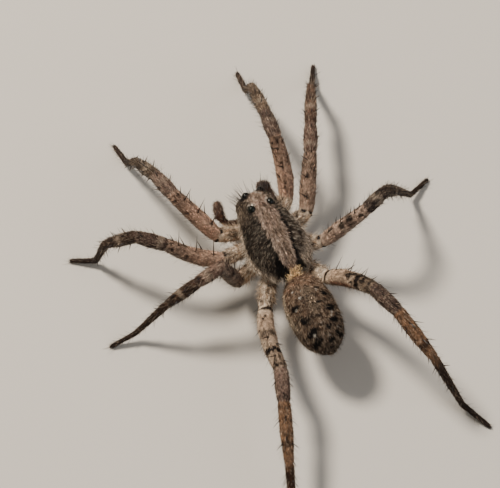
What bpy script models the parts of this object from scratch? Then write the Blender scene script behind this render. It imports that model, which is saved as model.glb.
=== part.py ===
# Wolf spider, life size, standing on a level floor in one fixed stance.
# Metres, +Z up, head toward +Y, the spider's right side toward +X, floor at Z = 0.
# Every sub-part is a closed solid of its own, out to the tips of its short coat.

import math

import bmesh
import bpy
from mathutils import Euler, Matrix, Vector

MM = 0.001

# Driving dimensions
CARAPACE_LENGTH = 8.3 * MM
CARAPACE_WIDTH = 5.7 * MM
CARAPACE_HEIGHT = 2.45 * MM          # rim to the top of the dome
ABDOMEN_LENGTH = 7.6 * MM
ABDOMEN_WIDTH = 4.9 * MM
ABDOMEN_HEIGHT = 4.6 * MM
LEG_UNIT = 8.0 * MM                  # leg lengths below are shares of this
JOINT_GAP = 0.04 * MM                # thin cut between two pieces that meet
EYE_GAP = 0.03 * MM

# Carriage of the body: height of the carapace rim, and its slight tilts
RIM_HEIGHT = 5.7 * MM
BODY_PITCH = 2.0                     # degrees, head raised
BODY_ROLL = 3.0                      # degrees, left side raised
ABDOMEN_DROOP = 3.0
ABDOMEN_SWING = 1.6                  # degrees, tail toward the left

# Height of the centre of each foot's round tip, a little less than its radius,
# so that a small flat is left when the floor plane cuts it
TIP_RADIUS = 0.26 * MM
TIP_HEIGHT = 0.20 * MM

LEG_SIDES = 10
SMALL_SIDES = 8                      # corners round a fang or a spinneret
FLESH = (0.30, 0.21, 0.15)
DARK = (0.10, 0.075, 0.06)
BLACK = (0.01, 0.01, 0.01)

# Shares of LEG_UNIT: hip, femur, patella, tibia, metatarsus, tarsus
LEG_LENGTHS = {
    1: (0.34, 0.73, 0.36, 0.56, 0.54, 0.29),
    2: (0.35, 0.69, 0.35, 0.51, 0.51, 0.28),
    3: (0.35, 0.66, 0.32, 0.44, 0.61, 0.30),
    4: (0.44, 0.83, 0.36, 0.65, 0.86, 0.36),
}

# Radii in mm at the joints and at mid length, leg I; the others are scaled from it
LEG_RADII = {"hip": 0.58, "hip_mid": 0.72, "trochanter": 0.70, "femur_base": 0.80,
             "femur_end": 0.74, "knee": 0.66, "patella_mid": 0.71, "shank": 0.61,
             "tibia_mid": 0.63, "ankle": 0.46, "metatarsus_mid": 0.38, "instep": 0.32,
             "tarsus_mid": 0.29}
LEG_STOUTNESS = {1: 1.0, 2: 0.98, 3: 0.93, 4: 1.0}

# Where each pair of legs leaves the breastplate, in mm from the centre of the rim
HIP_ROOTS = {1: (1.28, 1.52), 2: (1.60, 0.08), 3: (1.60, -1.36), 4: (1.12, -2.64)}
HIP_DROP = 1.32 * MM

# Stance. Headings are degrees from straight ahead toward the leg's own side, slopes are
# degrees above level: (hip heading, hip slope, femur heading, femur slope, shank heading,
# patella slope, tibia slope, foot heading, tarsus slope). The metatarsus slopes down as
# much as it must for the tarsus to reach the floor.
STANCE = {
    ("left", 1): (73, 1, 33, 42, 8, -19, -41, 5, -14),
    ("left", 2): (88, -4, 61, 30, 51, 10, -46, 58, -12),
    ("left", 3): (100, -32, 93, 73, 88, -28, -33, 85, -22),
    ("left", 4): (145, -4, 165, 15, 158, -3, -10, 158, -14),
    ("right", 1): (53, -15, 13, 43, 9, -13, -29, 7, -18),
    ("right", 2): (71, -7, 31, 13, 28, -3, -11, 31, -18),
    ("right", 3): (114, 12, 96, 43, 69, -5, -58, 68, -16),
    ("right", 4): (151, 11, 155, 44, 163, 0, -30, 153, -15),
}

# How far the middle of a femur bows out of its straight line: across, ahead, up in mm
FEMUR_BOW = {
    ("left", 2): (-0.21, -0.22, -0.13),
    ("left", 4): (-0.36, 0.18, 0.0),
    ("right", 1): (0.19, -0.09, 0.0),
    ("right", 4): (0.14, 0.22, 0.11),
}

# Pedipalps: (heading, slope) of the femur, the patella, and the tibia with the tarsus
PALP_ROOT = (1.06, 2.36, -1.06)      # mm, mirrored for the left one
PALP_LENGTHS = (1.9, 1.0, 2.6)       # mm
PALP_RADII = (0.29, 0.35, 0.42, 0.45, 0.37)
PALP_STANCE = {
    "left": ((61, -33), (20, 18), (-18, -40)),
    "right": ((39, -18), (-7, 26), (3, -62)),
}

# Eyes: name, (x, y, z) in mm from the centre of the rim, radius in mm
EYES = {
    "eye_median_rear": ((0.69, 3.42, 1.62), 0.36),
    "eye_lateral_rear": ((0.89, 1.92, 2.02), 0.36),
    "eye_median_front": ((0.24, 3.66, 0.92), 0.18),
    "eye_lateral_front": ((0.58, 3.62, 0.86), 0.15),
}

# Carapace stations, head to tail: place along it as a share of the length, half width as
# a share of half the greatest width, crown height as a share of the greatest, rim drop in mm
CARAPACE_STATIONS = (
    (0.458, 0.370, 0.367, 0.10),
    (0.448, 0.520, 0.571, 0.22),
    (0.398, 0.605, 0.824, 0.34),
    (0.301, 0.665, 0.963, 0.38),
    (0.169, 0.755, 1.000, 0.40),
    (0.024, 0.905, 0.980, 0.40),
    (-0.133, 0.996, 0.939, 0.40),
    (-0.289, 0.975, 0.816, 0.40),
    (-0.410, 0.849, 0.620, 0.38),
    (-0.494, 0.632, 0.376, 0.32),
    (-0.542, 0.386, 0.171, 0.16),
)
BODY_SIDES = 20                      # corners round the carapace and the abdomen
CARAPACE_SQUARENESS = 2.2            # 2 would be an ellipse
ABDOMEN_SQUARENESS = 2.1
STERNUM_SIDES = 12
STERNUM_SQUARENESS = 2.6
ABDOMEN_TOP_SHARE = 0.52             # of its height, above the axis

# Abdomen stations: share of the length, of the half width, of the height above and
# below the axis
ABDOMEN_STATIONS = (
    (0.00, 0.27, 0.32, 0.46),
    (0.05, 0.50, 0.58, 0.62),
    (0.16, 0.73, 0.83, 0.80),
    (0.33, 0.89, 0.97, 0.95),
    (0.50, 0.91, 1.00, 1.00),
    (0.66, 0.88, 0.94, 0.96),
    (0.82, 0.74, 0.74, 0.78),
    (0.94, 0.40, 0.38, 0.44),
    (1.00, 0.09, 0.11, 0.15),
)
ABDOMEN_FRONT = (0.12, -4.60, 0.05)   # mm from the centre of the rim

# The waist from the breastplate to the abdomen, mm from the centre of the rim
PEDICEL_START = (0.0, -2.84, -1.02)
PEDICEL_END = (-0.10, -4.44, -0.95)
PEDICEL_RADII = (0.46, 0.56, 0.60)   # mm

# Spinnerets: place under the tail in the abdomen's frame in mm, tilt in degrees, and
# four cones (across, up, length, radius) in mm
SPINNERET_PLACE = (0.0, -6.38, -2.04)
SPINNERET_TILT = 152.0
SPINNERET_BASE = ((0.0, -0.25), (0.50, -0.25), (0.52, 0.0), (0.30, 0.10), (0.0, 0.12))
SPINNERET_CONES = (
    (-0.24, 0.12, 0.58, 0.20),
    (0.24, 0.12, 0.58, 0.20),
    (-0.18, -0.22, 0.44, 0.17),
    (0.18, -0.22, 0.44, 0.17),
)

# Jaws: height, half width, half depth in mm from the centre of the rim, and the axis of
# the right one; a fang is spun from radius and length, and points down and inward
CHELICERA_STATIONS = (
    (-0.62, 0.40, 0.36),
    (-0.90, 0.58, 0.52),
    (-1.60, 0.62, 0.60),
    (-2.50, 0.56, 0.54),
    (-3.20, 0.42, 0.42),
    (-3.40, 0.22, 0.22),
)
CHELICERA_AXIS = (0.66, 3.31)      # mm, across and ahead of the rim's centre
CHELICERA_LEAN = 0.05                # forward per mm of height
FANG_PROFILE = ((0.0, 0.0), (0.26, 0.0), (0.25, 0.35), (0.17, 0.75), (0.06, 1.05), (0.0, 1.08))
FANG_PLACE = (0.78, 3.12, -3.50)
FANG_TILT = 158.0                    # degrees from upright, point down and back

# Breastplate with the underside of the head: y, half width, underside, top, in mm
STERNUM_STATIONS = (
    (2.70, 0.45, -1.30, -0.55),
    (2.20, 0.72, -1.75, -0.47),
    (1.20, 0.98, -2.10, -0.46),
    (0.00, 1.12, -2.25, -0.46),
    (-1.20, 1.06, -2.15, -0.46),
    (-2.20, 0.72, -1.90, -0.47),
    (-2.75, 0.38, -1.50, -0.60),
)


def clear_scene():
    for item in list(bpy.data.objects):
        bpy.data.objects.remove(item)


def new_collection(name):
    collection = bpy.data.collections.new(name)
    bpy.context.scene.collection.children.link(collection)
    return collection


def heading_slope(side, heading, slope):
    # unit vector for a heading toward the given side and a slope above level
    turn = math.radians(heading) * (1 if side == "right" else -1)
    rise = math.radians(slope)
    return Vector((math.sin(turn) * math.cos(rise), math.cos(turn) * math.cos(rise),
                   math.sin(rise)))


def finish_mesh(bm, name, colour, roughness, parent):
    bmesh.ops.recalc_face_normals(bm, faces=bm.faces)
    mesh = bpy.data.meshes.new(name)
    bm.to_mesh(mesh)
    bm.free()
    mesh.shade_smooth()
    mesh.set_sharp_from_angle(angle=math.radians(50))
    part = bpy.data.objects.new(name, mesh)
    parts.objects.link(part)
    part.parent = parent
    material = bpy.data.materials.new(name)
    material.use_nodes = True
    shader = material.node_tree.nodes["Principled BSDF"]
    shader.inputs["Base Color"].default_value = (*colour, 1.0)
    shader.inputs["Roughness"].default_value = roughness
    mesh.materials.append(material)
    return part


def smooth_stations(stations, steps):
    # stations between the given ones, on a Catmull-Rom curve through them
    out = []
    last = len(stations) - 1
    for i in range(last):
        before = Vector(stations[max(i - 1, 0)])
        start = Vector(stations[i])
        end = Vector(stations[i + 1])
        after = Vector(stations[min(i + 2, last)])
        for k in range(steps):
            t = k / steps
            out.append(0.5 * (2 * start + (end - before) * t
                              + (2 * before - 5 * start + 4 * end - after) * t * t
                              + (3 * start - before - 3 * end + after) * t ** 3))
    out.append(Vector(stations[last]))
    return out


def skin_rings(rings):
    # a closed skin over rings of points that all have the same count
    bm = bmesh.new()
    loops = [[bm.verts.new(point) for point in ring] for ring in rings]
    count = len(rings[0])
    for first, second in zip(loops, loops[1:]):
        for i in range(count):
            j = (i + 1) % count
            bm.faces.new((first[i], first[j], second[j], second[i]))
    bm.faces.new(loops[0])
    bm.faces.new(loops[-1])
    bmesh.ops.recalc_face_normals(bm, faces=bm.faces)
    return bm


def loft(name, rings, colour, roughness, parent):
    return finish_mesh(skin_rings(rings), name, colour, roughness, parent)


def arch_ring(y, half_width, low, high, sides, squareness, level=0.0):
    # one cross-section: widest at `level`, arched up to `high` and down to `low`
    ring = []
    power = 2.0 / squareness
    for i in range(sides):
        angle = 2 * math.pi * i / sides
        across = math.copysign(abs(math.cos(angle)) ** power, math.cos(angle))
        up = math.copysign(abs(math.sin(angle)) ** power, math.sin(angle))
        reach = high - level if up > 0 else level - low
        ring.append(Vector((half_width * across, y, level + reach * up)) * MM)
    return ring


def turned(profile, sides):
    # profile of (radius, height) points spun about Z; its first and last radius are 0
    bm = bmesh.new()
    points = [bm.verts.new((radius, 0, height)) for radius, height in profile]
    edges = [bm.edges.new(pair) for pair in zip(points, points[1:])]
    bmesh.ops.spin(bm, geom=points + edges, cent=(0, 0, 0), axis=(0, 0, 1), dvec=(0, 0, 0),
                   angle=2 * math.pi, steps=sides, use_merge=True, use_duplicate=False)
    bmesh.ops.remove_doubles(bm, verts=bm.verts, dist=1e-7)
    return bm


def cut_flat(bm, point, normal):
    # keep what lies behind the plane, and close the cut
    geometry = bm.verts[:] + bm.edges[:] + bm.faces[:]
    bmesh.ops.bisect_plane(bm, geom=geometry, dist=1e-8, plane_co=point, plane_no=normal,
                           clear_outer=True)
    rim = [edge for edge in bm.edges if edge.is_boundary]
    if rim:
        bmesh.ops.holes_fill(bm, edges=rim, sides=0)


def limb(joints, radii, before=None, after=None):
    # one round body along two or more joints. radii holds, for each stretch, the radii at
    # even steps along it. Each end is a half ball, which a thin cut through the joint
    # trims if a neighbour with the direction `before` or `after` meets it there.
    directions = [(end - start).normalized() for start, end in zip(joints, joints[1:])]
    side = directions[0].orthogonal().normalized()
    rings = []
    for i, direction in enumerate(directions):
        if i > 0:
            side = directions[i - 1].rotation_difference(direction) @ side
        other = direction.cross(side)
        spokes = [side * math.cos(a) + other * math.sin(a)
                  for a in (2 * math.pi * k / LEG_SIDES for k in range(LEG_SIDES))]
        start, end = joints[i], joints[i + 1]
        first, last = radii[i][0], radii[i][-1]
        if i == 0:
            for angle in map(math.radians, (80, 55, 28)):
                rings.append([start - direction * first * math.sin(angle)
                              + spoke * first * math.cos(angle) for spoke in spokes])
            rings.append([start + spoke * first for spoke in spokes])
        steps = len(radii[i]) - 1
        for k in range(1, steps):
            rings.append([start.lerp(end, k / steps) + spoke * radii[i][k] for spoke in spokes])
        if i + 1 < len(directions):
            # the ring at a bend lies in the plane that halves the bend
            facing = (direction + directions[i + 1]).normalized()
            rings.append([end + last * (spoke - direction * spoke.dot(facing) / direction.dot(facing))
                          for spoke in spokes])
        else:
            rings.append([end + spoke * last for spoke in spokes])
            for angle in map(math.radians, (28, 55, 80)):
                rings.append([end + direction * last * math.sin(angle)
                              + spoke * last * math.cos(angle) for spoke in spokes])
    bm = skin_rings(rings)
    if before is not None:
        facing = (before + directions[0]).normalized()
        cut_flat(bm, joints[0] + facing * JOINT_GAP / 2, -facing)
    if after is not None:
        facing = (directions[-1] + after).normalized()
        cut_flat(bm, joints[-1] - facing * JOINT_GAP / 2, facing)
    return bm


def weld(first, second):
    # add the second mesh to the first as one body, by a Boolean union
    meshes = []
    for bm in (first, second):
        bmesh.ops.recalc_face_normals(bm, faces=bm.faces)
        mesh = bpy.data.meshes.new("weld")
        bm.to_mesh(mesh)
        bm.free()
        meshes.append(mesh)
    base = bpy.data.objects.new("weld_base", meshes[0])
    tool = bpy.data.objects.new("weld_tool", meshes[1])
    for item in (base, tool):
        cutters.objects.link(item)
    union = base.modifiers.new("union", "BOOLEAN")
    union.operation = "UNION"
    union.object = tool
    graph = bpy.context.evaluated_depsgraph_get()
    joined = bmesh.new()
    joined.from_mesh(base.evaluated_get(graph).to_mesh())
    bmesh.ops.remove_doubles(joined, verts=joined.verts, dist=1e-7)
    for item in (base, tool):
        bpy.data.objects.remove(item)
    return joined


def make_carapace(parent):
    rings = []
    for place, width, crown, drop in smooth_stations(CARAPACE_STATIONS, 2):
        rings.append(arch_ring(place * CARAPACE_LENGTH / MM, width * CARAPACE_WIDTH / 2 / MM, -drop,
                               crown * CARAPACE_HEIGHT / MM, BODY_SIDES, CARAPACE_SQUARENESS))
    carapace = loft("carapace", rings, FLESH, 0.7, parent)
    for place, radius in EYES.values():
        for flip in (-1, 1):
            centre = Vector((place[0] * flip, place[1], place[2])) * MM
            bm = bmesh.new()
            bmesh.ops.create_uvsphere(bm, u_segments=10, v_segments=8,
                                      radius=radius * MM + EYE_GAP)
            socket_mesh = bpy.data.meshes.new("eye_socket")
            bm.to_mesh(socket_mesh)
            bm.free()
            socket = bpy.data.objects.new("eye_socket", socket_mesh)
            cutters.objects.link(socket)
            socket.parent = parent
            socket.location = centre
            socket.hide_render = True
            socket.display_type = "WIRE"
            cut = carapace.modifiers.new("eye_socket", "BOOLEAN")
            cut.object = socket


def make_eyes(parent):
    for name, (place, radius) in EYES.items():
        for side, flip in (("left", -1), ("right", 1)):
            bm = bmesh.new()
            bmesh.ops.create_uvsphere(bm, u_segments=10, v_segments=7, radius=radius * MM)
            eye = finish_mesh(bm, f"{name}_{side}", BLACK, 0.08, parent)
            eye.location = Vector((place[0] * flip, place[1], place[2])) * MM


def make_sternum(parent):
    rings = []
    for y, half_width, low, high in STERNUM_STATIONS:
        rings.append(arch_ring(y, half_width, low, high, STERNUM_SIDES, STERNUM_SQUARENESS,
                               (low + high) / 2))
    loft("sternum", rings, DARK, 0.6, parent)


def make_abdomen(parent):
    rings = []
    for share, width, above, below in smooth_stations(ABDOMEN_STATIONS, 2):
        rings.append(arch_ring(-share * ABDOMEN_LENGTH / MM, width * ABDOMEN_WIDTH / 2 / MM,
                               -below * ABDOMEN_HEIGHT * (1 - ABDOMEN_TOP_SHARE) / MM,
                               above * ABDOMEN_HEIGHT * ABDOMEN_TOP_SHARE / MM, BODY_SIDES,
                               ABDOMEN_SQUARENESS))
    abdomen = loft("abdomen", rings, FLESH, 0.8, parent)
    abdomen.location = Vector(ABDOMEN_FRONT) * MM
    abdomen.rotation_euler = Euler((math.radians(ABDOMEN_DROOP), 0, math.radians(-ABDOMEN_SWING)))
    return abdomen


def make_pedicel(parent):
    start = Vector(PEDICEL_START) * MM
    end = Vector(PEDICEL_END) * MM
    length = (end - start).length
    front, middle, back = [radius * MM for radius in PEDICEL_RADII]
    waist = turned([(0.0, 0.0), (front, 0.0), (middle, length / 2), (back, length), (0.0, length)],
                   LEG_SIDES)
    aim = (end - start).normalized().to_track_quat("Z", "Y").to_matrix().to_4x4()
    bmesh.ops.transform(waist, matrix=Matrix.Translation(start) @ aim, verts=waist.verts)
    finish_mesh(waist, "pedicel", DARK, 0.6, parent)


def make_spinnerets(abdomen):
    # four short cones on a common base under the tip of the abdomen
    base = turned([(radius * MM, height * MM) for radius, height in SPINNERET_BASE], LEG_SIDES)
    for across, up, length, radius in SPINNERET_CONES:
        profile = ((0.0, -0.10), (radius, -0.10), (radius * 0.9, length * 0.6),
                   (radius * 0.45, length), (0.0, length))
        cone = turned([(width * MM, height * MM) for width, height in profile], SMALL_SIDES)
        bmesh.ops.translate(cone, vec=Vector((across, up, 0)) * MM, verts=cone.verts)
        base = weld(base, cone)
    part = finish_mesh(base, "spinnerets", DARK, 0.6, abdomen)
    part.location = Vector(SPINNERET_PLACE) * MM
    part.rotation_euler = Euler((math.radians(SPINNERET_TILT), 0, 0))


def make_chelicerae(parent):
    # two stout upright jaws under the face, and the fangs folded in below them
    across, ahead = CHELICERA_AXIS
    for side, flip in (("left", -1), ("right", 1)):
        rings = []
        for z, half_width, half_depth in CHELICERA_STATIONS:
            centre = Vector((flip * across, ahead + CHELICERA_LEAN * z, z))
            rings.append([(centre + Vector((math.cos(a) * half_width, math.sin(a) * half_depth, 0)))
                          * MM for a in (2 * math.pi * i / LEG_SIDES for i in range(LEG_SIDES))])
        loft(f"chelicera_{side}", rings, DARK, 0.5, parent)
        fang = turned([(radius * MM, height * MM) for radius, height in FANG_PROFILE], SMALL_SIDES)
        part = finish_mesh(fang, f"fang_{side}", BLACK, 0.25, parent)
        part.location = Vector((flip * FANG_PLACE[0], FANG_PLACE[1], FANG_PLACE[2])) * MM
        part.rotation_euler = Euler((math.radians(FANG_TILT), 0, 0))


def make_palps(body):
    for side, flip in (("left", -1), ("right", 1)):
        joint = body @ (Vector((PALP_ROOT[0] * flip, PALP_ROOT[1], PALP_ROOT[2])) * MM)
        joints = [joint]
        for (heading, slope), length in zip(PALP_STANCE[side], PALP_LENGTHS):
            joint = joint + heading_slope(side, heading, slope) * length * MM
            joints.append(joint)
        a, b, c, d, e = [radius * MM for radius in PALP_RADII]
        palp = limb(joints, [(a, b, b), (b, b, c), (c, d, e)])
        finish_mesh(palp, f"pedipalp_{side}", DARK, 0.6, spider)


def leg_joints(side, pair, body):
    hip, femur, patella, tibia, metatarsus, tarsus = [share * LEG_UNIT
                                                      for share in LEG_LENGTHS[pair]]
    (hip_heading, hip_slope, femur_heading, femur_slope, shank_heading, patella_slope,
     tibia_slope, foot_heading, tarsus_slope) = STANCE[side, pair]
    across, ahead = HIP_ROOTS[pair]
    flip = 1 if side == "right" else -1
    joints = [body @ Vector((across * MM * flip, ahead * MM, -HIP_DROP))]
    for heading, slope, length in ((hip_heading, hip_slope, hip),
                                   (femur_heading, femur_slope, femur),
                                   (shank_heading, patella_slope, patella),
                                   (shank_heading, tibia_slope, tibia)):
        joints.append(joints[-1] + heading_slope(side, heading, slope) * length)
    drop = joints[-1].z - TIP_HEIGHT + tarsus * math.sin(math.radians(tarsus_slope))
    slope = -math.degrees(math.asin(drop / metatarsus))
    joints.append(joints[-1] + heading_slope(side, foot_heading, slope) * metatarsus)
    joints.append(joints[-1] + heading_slope(side, foot_heading, tarsus_slope) * tarsus)
    return joints


def make_leg(side, pair, body):
    joints = leg_joints(side, pair, body)
    r = {name: radius * MM * LEG_STOUTNESS[pair] for name, radius in LEG_RADII.items()}
    bow = Vector(FEMUR_BOW.get((side, pair), (0, 0, 0))) * MM
    femur = [joints[1], joints[1].lerp(joints[2], 1 / 3) + bow,
             joints[1].lerp(joints[2], 2 / 3) + bow * 0.85, joints[2]]
    pieces = {
        "coxa": (joints[0:2], [(r["hip"], r["hip_mid"], r["trochanter"])]),
        "femur": (femur, [(r["trochanter"], r["femur_base"]), (r["femur_base"], r["femur_end"]),
                          (r["femur_end"], r["knee"])]),
        "patella": (joints[2:4], [(r["knee"], r["patella_mid"], r["shank"])]),
        "tibia": (joints[3:5], [(r["shank"], r["tibia_mid"], r["ankle"])]),
        "foot": (joints[4:7], [(r["ankle"], r["metatarsus_mid"], r["instep"]),
                               (r["instep"], r["tarsus_mid"], TIP_RADIUS)]),
    }
    starts = [(path[1] - path[0]).normalized() for path, _ in pieces.values()]
    ends = [(path[-1] - path[-2]).normalized() for path, _ in pieces.values()]
    number = ("I", "II", "III", "IV")[pair - 1]
    for place, (name, (path, radii)) in enumerate(pieces.items()):
        before = ends[place - 1] if place > 0 else None
        after = starts[place + 1] if place + 1 < len(starts) else None
        bm = limb(path, radii, before, after)
        if name == "coxa":
            inward = Vector((-math.copysign(1.0, joints[0].x), 0, 0))
            cut_flat(bm, joints[0], inward)
        if name == "foot":
            cut_flat(bm, Vector((0, 0, 0)), Vector((0, 0, -1)))
        finish_mesh(bm, f"leg_{number}_{side}_{name}", FLESH, 0.7, spider)


def stand_over_origin():
    # slide the whole spider so that its bounding box is centred over the origin
    graph = bpy.context.evaluated_depsgraph_get()
    low = Vector((1, 1, 1))
    high = -low
    for item in parts.objects:
        if item.type != "MESH":
            continue
        solid = item.evaluated_get(graph)
        for vertex in solid.data.vertices:
            place = item.matrix_world @ vertex.co
            low = Vector(map(min, low, place))
            high = Vector(map(max, high, place))
    spider.location = Vector((-(low.x + high.x) / 2, -(low.y + high.y) / 2, 0))


clear_scene()
parts = new_collection("wolf_spider")
cutters = new_collection("cutters")
spider = bpy.data.objects.new("spider", None)
parts.objects.link(spider)
body_frame = bpy.data.objects.new("body_frame", None)
parts.objects.link(body_frame)
body_frame.parent = spider
body_frame.location = (0, 0, RIM_HEIGHT)
body_frame.rotation_euler = Euler((math.radians(BODY_PITCH), math.radians(BODY_ROLL), 0))
body_matrix = Matrix.Translation(body_frame.location) @ body_frame.rotation_euler.to_matrix().to_4x4()

make_carapace(body_frame)
make_eyes(body_frame)
make_sternum(body_frame)
make_pedicel(body_frame)
make_spinnerets(make_abdomen(body_frame))
make_chelicerae(body_frame)
make_palps(body_matrix)
for leg_side in ("left", "right"):
    for leg_pair in (1, 2, 3, 4):
        make_leg(leg_side, leg_pair, body_matrix)
bpy.context.view_layer.update()
stand_over_origin()
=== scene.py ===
import math

import bpy
import numpy as np
from mathutils import Matrix, Vector
from mathutils.bvhtree import BVHTree


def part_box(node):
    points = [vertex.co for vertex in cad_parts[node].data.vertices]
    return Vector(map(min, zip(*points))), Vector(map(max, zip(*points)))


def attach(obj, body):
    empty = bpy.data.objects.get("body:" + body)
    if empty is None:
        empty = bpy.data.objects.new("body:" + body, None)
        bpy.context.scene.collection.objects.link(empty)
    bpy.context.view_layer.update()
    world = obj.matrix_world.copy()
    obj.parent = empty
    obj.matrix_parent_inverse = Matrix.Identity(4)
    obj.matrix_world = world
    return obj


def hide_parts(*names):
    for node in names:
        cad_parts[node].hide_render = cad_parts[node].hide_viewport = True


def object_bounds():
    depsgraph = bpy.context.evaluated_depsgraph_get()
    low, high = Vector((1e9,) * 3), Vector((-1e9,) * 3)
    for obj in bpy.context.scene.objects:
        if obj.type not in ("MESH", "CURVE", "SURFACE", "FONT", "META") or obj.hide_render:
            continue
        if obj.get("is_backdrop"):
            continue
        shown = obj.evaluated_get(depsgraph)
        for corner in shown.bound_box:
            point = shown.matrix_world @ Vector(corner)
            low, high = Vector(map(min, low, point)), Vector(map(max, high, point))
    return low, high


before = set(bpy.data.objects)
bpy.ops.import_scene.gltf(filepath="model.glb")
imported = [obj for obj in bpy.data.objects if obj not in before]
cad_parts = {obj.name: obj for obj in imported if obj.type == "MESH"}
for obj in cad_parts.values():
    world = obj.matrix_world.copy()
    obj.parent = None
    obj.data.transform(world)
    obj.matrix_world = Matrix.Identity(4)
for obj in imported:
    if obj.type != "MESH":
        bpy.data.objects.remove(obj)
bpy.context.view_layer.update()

# A wolf spider's looks: one skin over the flesh, its coat of short hairs, spines, eyes and claws.
# Lengths in the scene are metres, so mm turns millimetres into them. Lengths in the dictionaries and
# tables below are in mm and angles in degrees.

mm = 0.001
dice = np.random.default_rng(23)


def tone(hexValue):
    # sRGB hex to linear
    parts = np.array([int(hexValue[i:i + 2], 16) for i in (0, 2, 4)]) / 255
    return np.where(parts <= 0.04045, parts / 12.92, ((parts + 0.055) / 1.055) ** 2.4)


def unit(vectors):
    return vectors / np.maximum(np.linalg.norm(vectors, axis=-1, keepdims=True), 1e-12)


def soft(value, low, high):
    # 0 below low, 1 above high, smooth between; turned round when low is above high
    share = np.clip((value - low) / (high - low), 0, 1)
    return share * share * (3 - 2 * share)


def mix(under, over, share):
    share = np.asarray(share)[..., None] if np.ndim(share) else share
    return under * (1 - share) + over * share


def cloud(points, cell, seed):
    # smooth random values from 0 to 1, changing over about one cell; cell may differ by axis
    place = points / cell
    base = np.floor(place).astype(np.int64)
    part = place - base
    part = part * part * (3 - 2 * part)
    total = np.zeros(len(points))
    for corner in range(8):
        step = np.array([corner & 1, corner >> 1 & 1, corner >> 2 & 1])
        key = ((base + step) * np.array([73856093, 19349663, 83492791])).sum(1) + seed * 265443
        key = ((key ^ (key >> 13)) * 1274126177) & 0x7FFFFFFF
        key = ((key ^ (key >> 15)) * 668265263) & 0x7FFFFFFF
        total += (key >> 7 & 0xFFFF) / 65535 * np.where(step, part, 1 - part).prod(1)
    return total


def meshPoints(mesh, field="vertices", name="co"):
    values = np.empty(len(getattr(mesh, field)) * 3)
    getattr(mesh, field).foreach_get(name, values)
    return values.reshape(-1, 3)


def nodePoints(name):
    return meshPoints(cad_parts[name].data)


def middle(name):
    low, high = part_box(name)
    return (np.array(low) + np.array(high)) / 2


def onlySelect(*items):
    bpy.ops.object.select_all(action="DESELECT")
    for item in items:
        item.select_set(True)
    bpy.context.view_layer.objects.active = items[0]


def applyModifier(item, kind, **settings):
    onlySelect(item)
    modifier = item.modifiers.new(kind.lower(), kind)
    for key, value in settings.items():
        setattr(modifier, key, value)
    bpy.ops.object.modifier_apply(modifier=modifier.name)


# The body's own axes. The rear eyes stand at these places ahead of and above the centre of the
# carapace rim, which gives the body's place and tilt.
rearEyes = dict(lateral=(1.92, 2.02), median=(3.42, 1.62))
rearMiddle = (middle("eye_lateral_rear_left") + middle("eye_lateral_rear_right")) / 2
frontMiddle = (middle("eye_median_rear_left") + middle("eye_median_rear_right")) / 2
bodyAcross = unit(middle("eye_lateral_rear_right") - middle("eye_lateral_rear_left"))
headRise = math.atan2(rearEyes["median"][1] - rearEyes["lateral"][1],
                      rearEyes["median"][0] - rearEyes["lateral"][0])
headLine = unit(frontMiddle - rearMiddle)
headNormal = np.cross(bodyAcross, headLine)
bodyAhead = headLine * math.cos(headRise) - headNormal * math.sin(headRise)
bodyUp = np.cross(bodyAcross, bodyAhead)
bodyAxes = np.array([bodyAcross, bodyAhead, bodyUp])
bodyCentre = rearMiddle - (bodyAhead * rearEyes["lateral"][0] + bodyUp * rearEyes["lateral"][1]) * mm


def inBody(points):
    # right, ahead and up from the centre of the carapace rim, in mm
    return (points - bodyCentre) @ bodyAxes.T / mm


abdomenPoints = nodePoints("abdomen")
lengthwise = abdomenPoints @ bodyAhead
abdomenFront = abdomenPoints[lengthwise > lengthwise.max() - 0.05 * mm].mean(0)
abdomenRear = abdomenPoints[lengthwise < lengthwise.min() + 0.05 * mm].mean(0)
abdomenAhead = unit(abdomenFront - abdomenRear)
abdomenAcross = unit(np.cross(abdomenAhead, bodyUp))
abdomenAxes = np.array([abdomenAcross, abdomenAhead, np.cross(abdomenAcross, abdomenAhead)])


def inAbdomen(points):
    # right, ahead and up from the abdomen's front tip, in mm
    return (points - abdomenFront) @ abdomenAxes.T / mm


eyeKinds = ("median_rear", "lateral_rear", "median_front", "lateral_front")
eyeNames = [f"eye_{kind}_{side}" for kind in eyeKinds for side in ("left", "right")]
eyeCentres = np.array([middle(name) for name in eyeNames])
eyeRadii = np.array([np.ptp(nodePoints(name)[:, 2]) / 2 for name in eyeNames])
fangNodes = ["fang_left", "fang_right"]
fleshNodes = [name for name in sorted(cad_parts) if name not in eyeNames + fangNodes]

# lengths of metatarsus and tarsus, which give the bend of each foot
footLengths = {"I": (4.32, 2.32), "II": (4.08, 2.24), "III": (4.88, 2.40), "IV": (6.88, 2.88)}


def between(first, second):
    # centre of the joint where two pieces meet
    a, b = nodePoints(first), nodePoints(second)
    gap = np.linalg.norm(a[:, None] - b[None], axis=2).min(1)
    return a[gap < 0.25 * mm].mean(0)


def farEnd(name, start):
    # centre of the end of a piece that lies farthest from start
    points = nodePoints(name)
    away = np.linalg.norm(points - start, axis=1)
    return points[away > away.max() - 0.2 * mm].mean(0)


def instep(ankle, tip, lengths):
    # where metatarsus and tarsus meet: the lower of the two places their lengths allow
    first, second = (length * mm for length in lengths)
    line = tip - ankle
    reach = np.linalg.norm(line)
    along = (first ** 2 - second ** 2 + reach ** 2) / (2 * reach)
    off = math.sqrt(max(first ** 2 - along ** 2, 0))
    line = line / reach
    down = np.array([0, 0, -1.0])
    return ankle + line * along + unit(down - line * (down @ line)) * off


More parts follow.
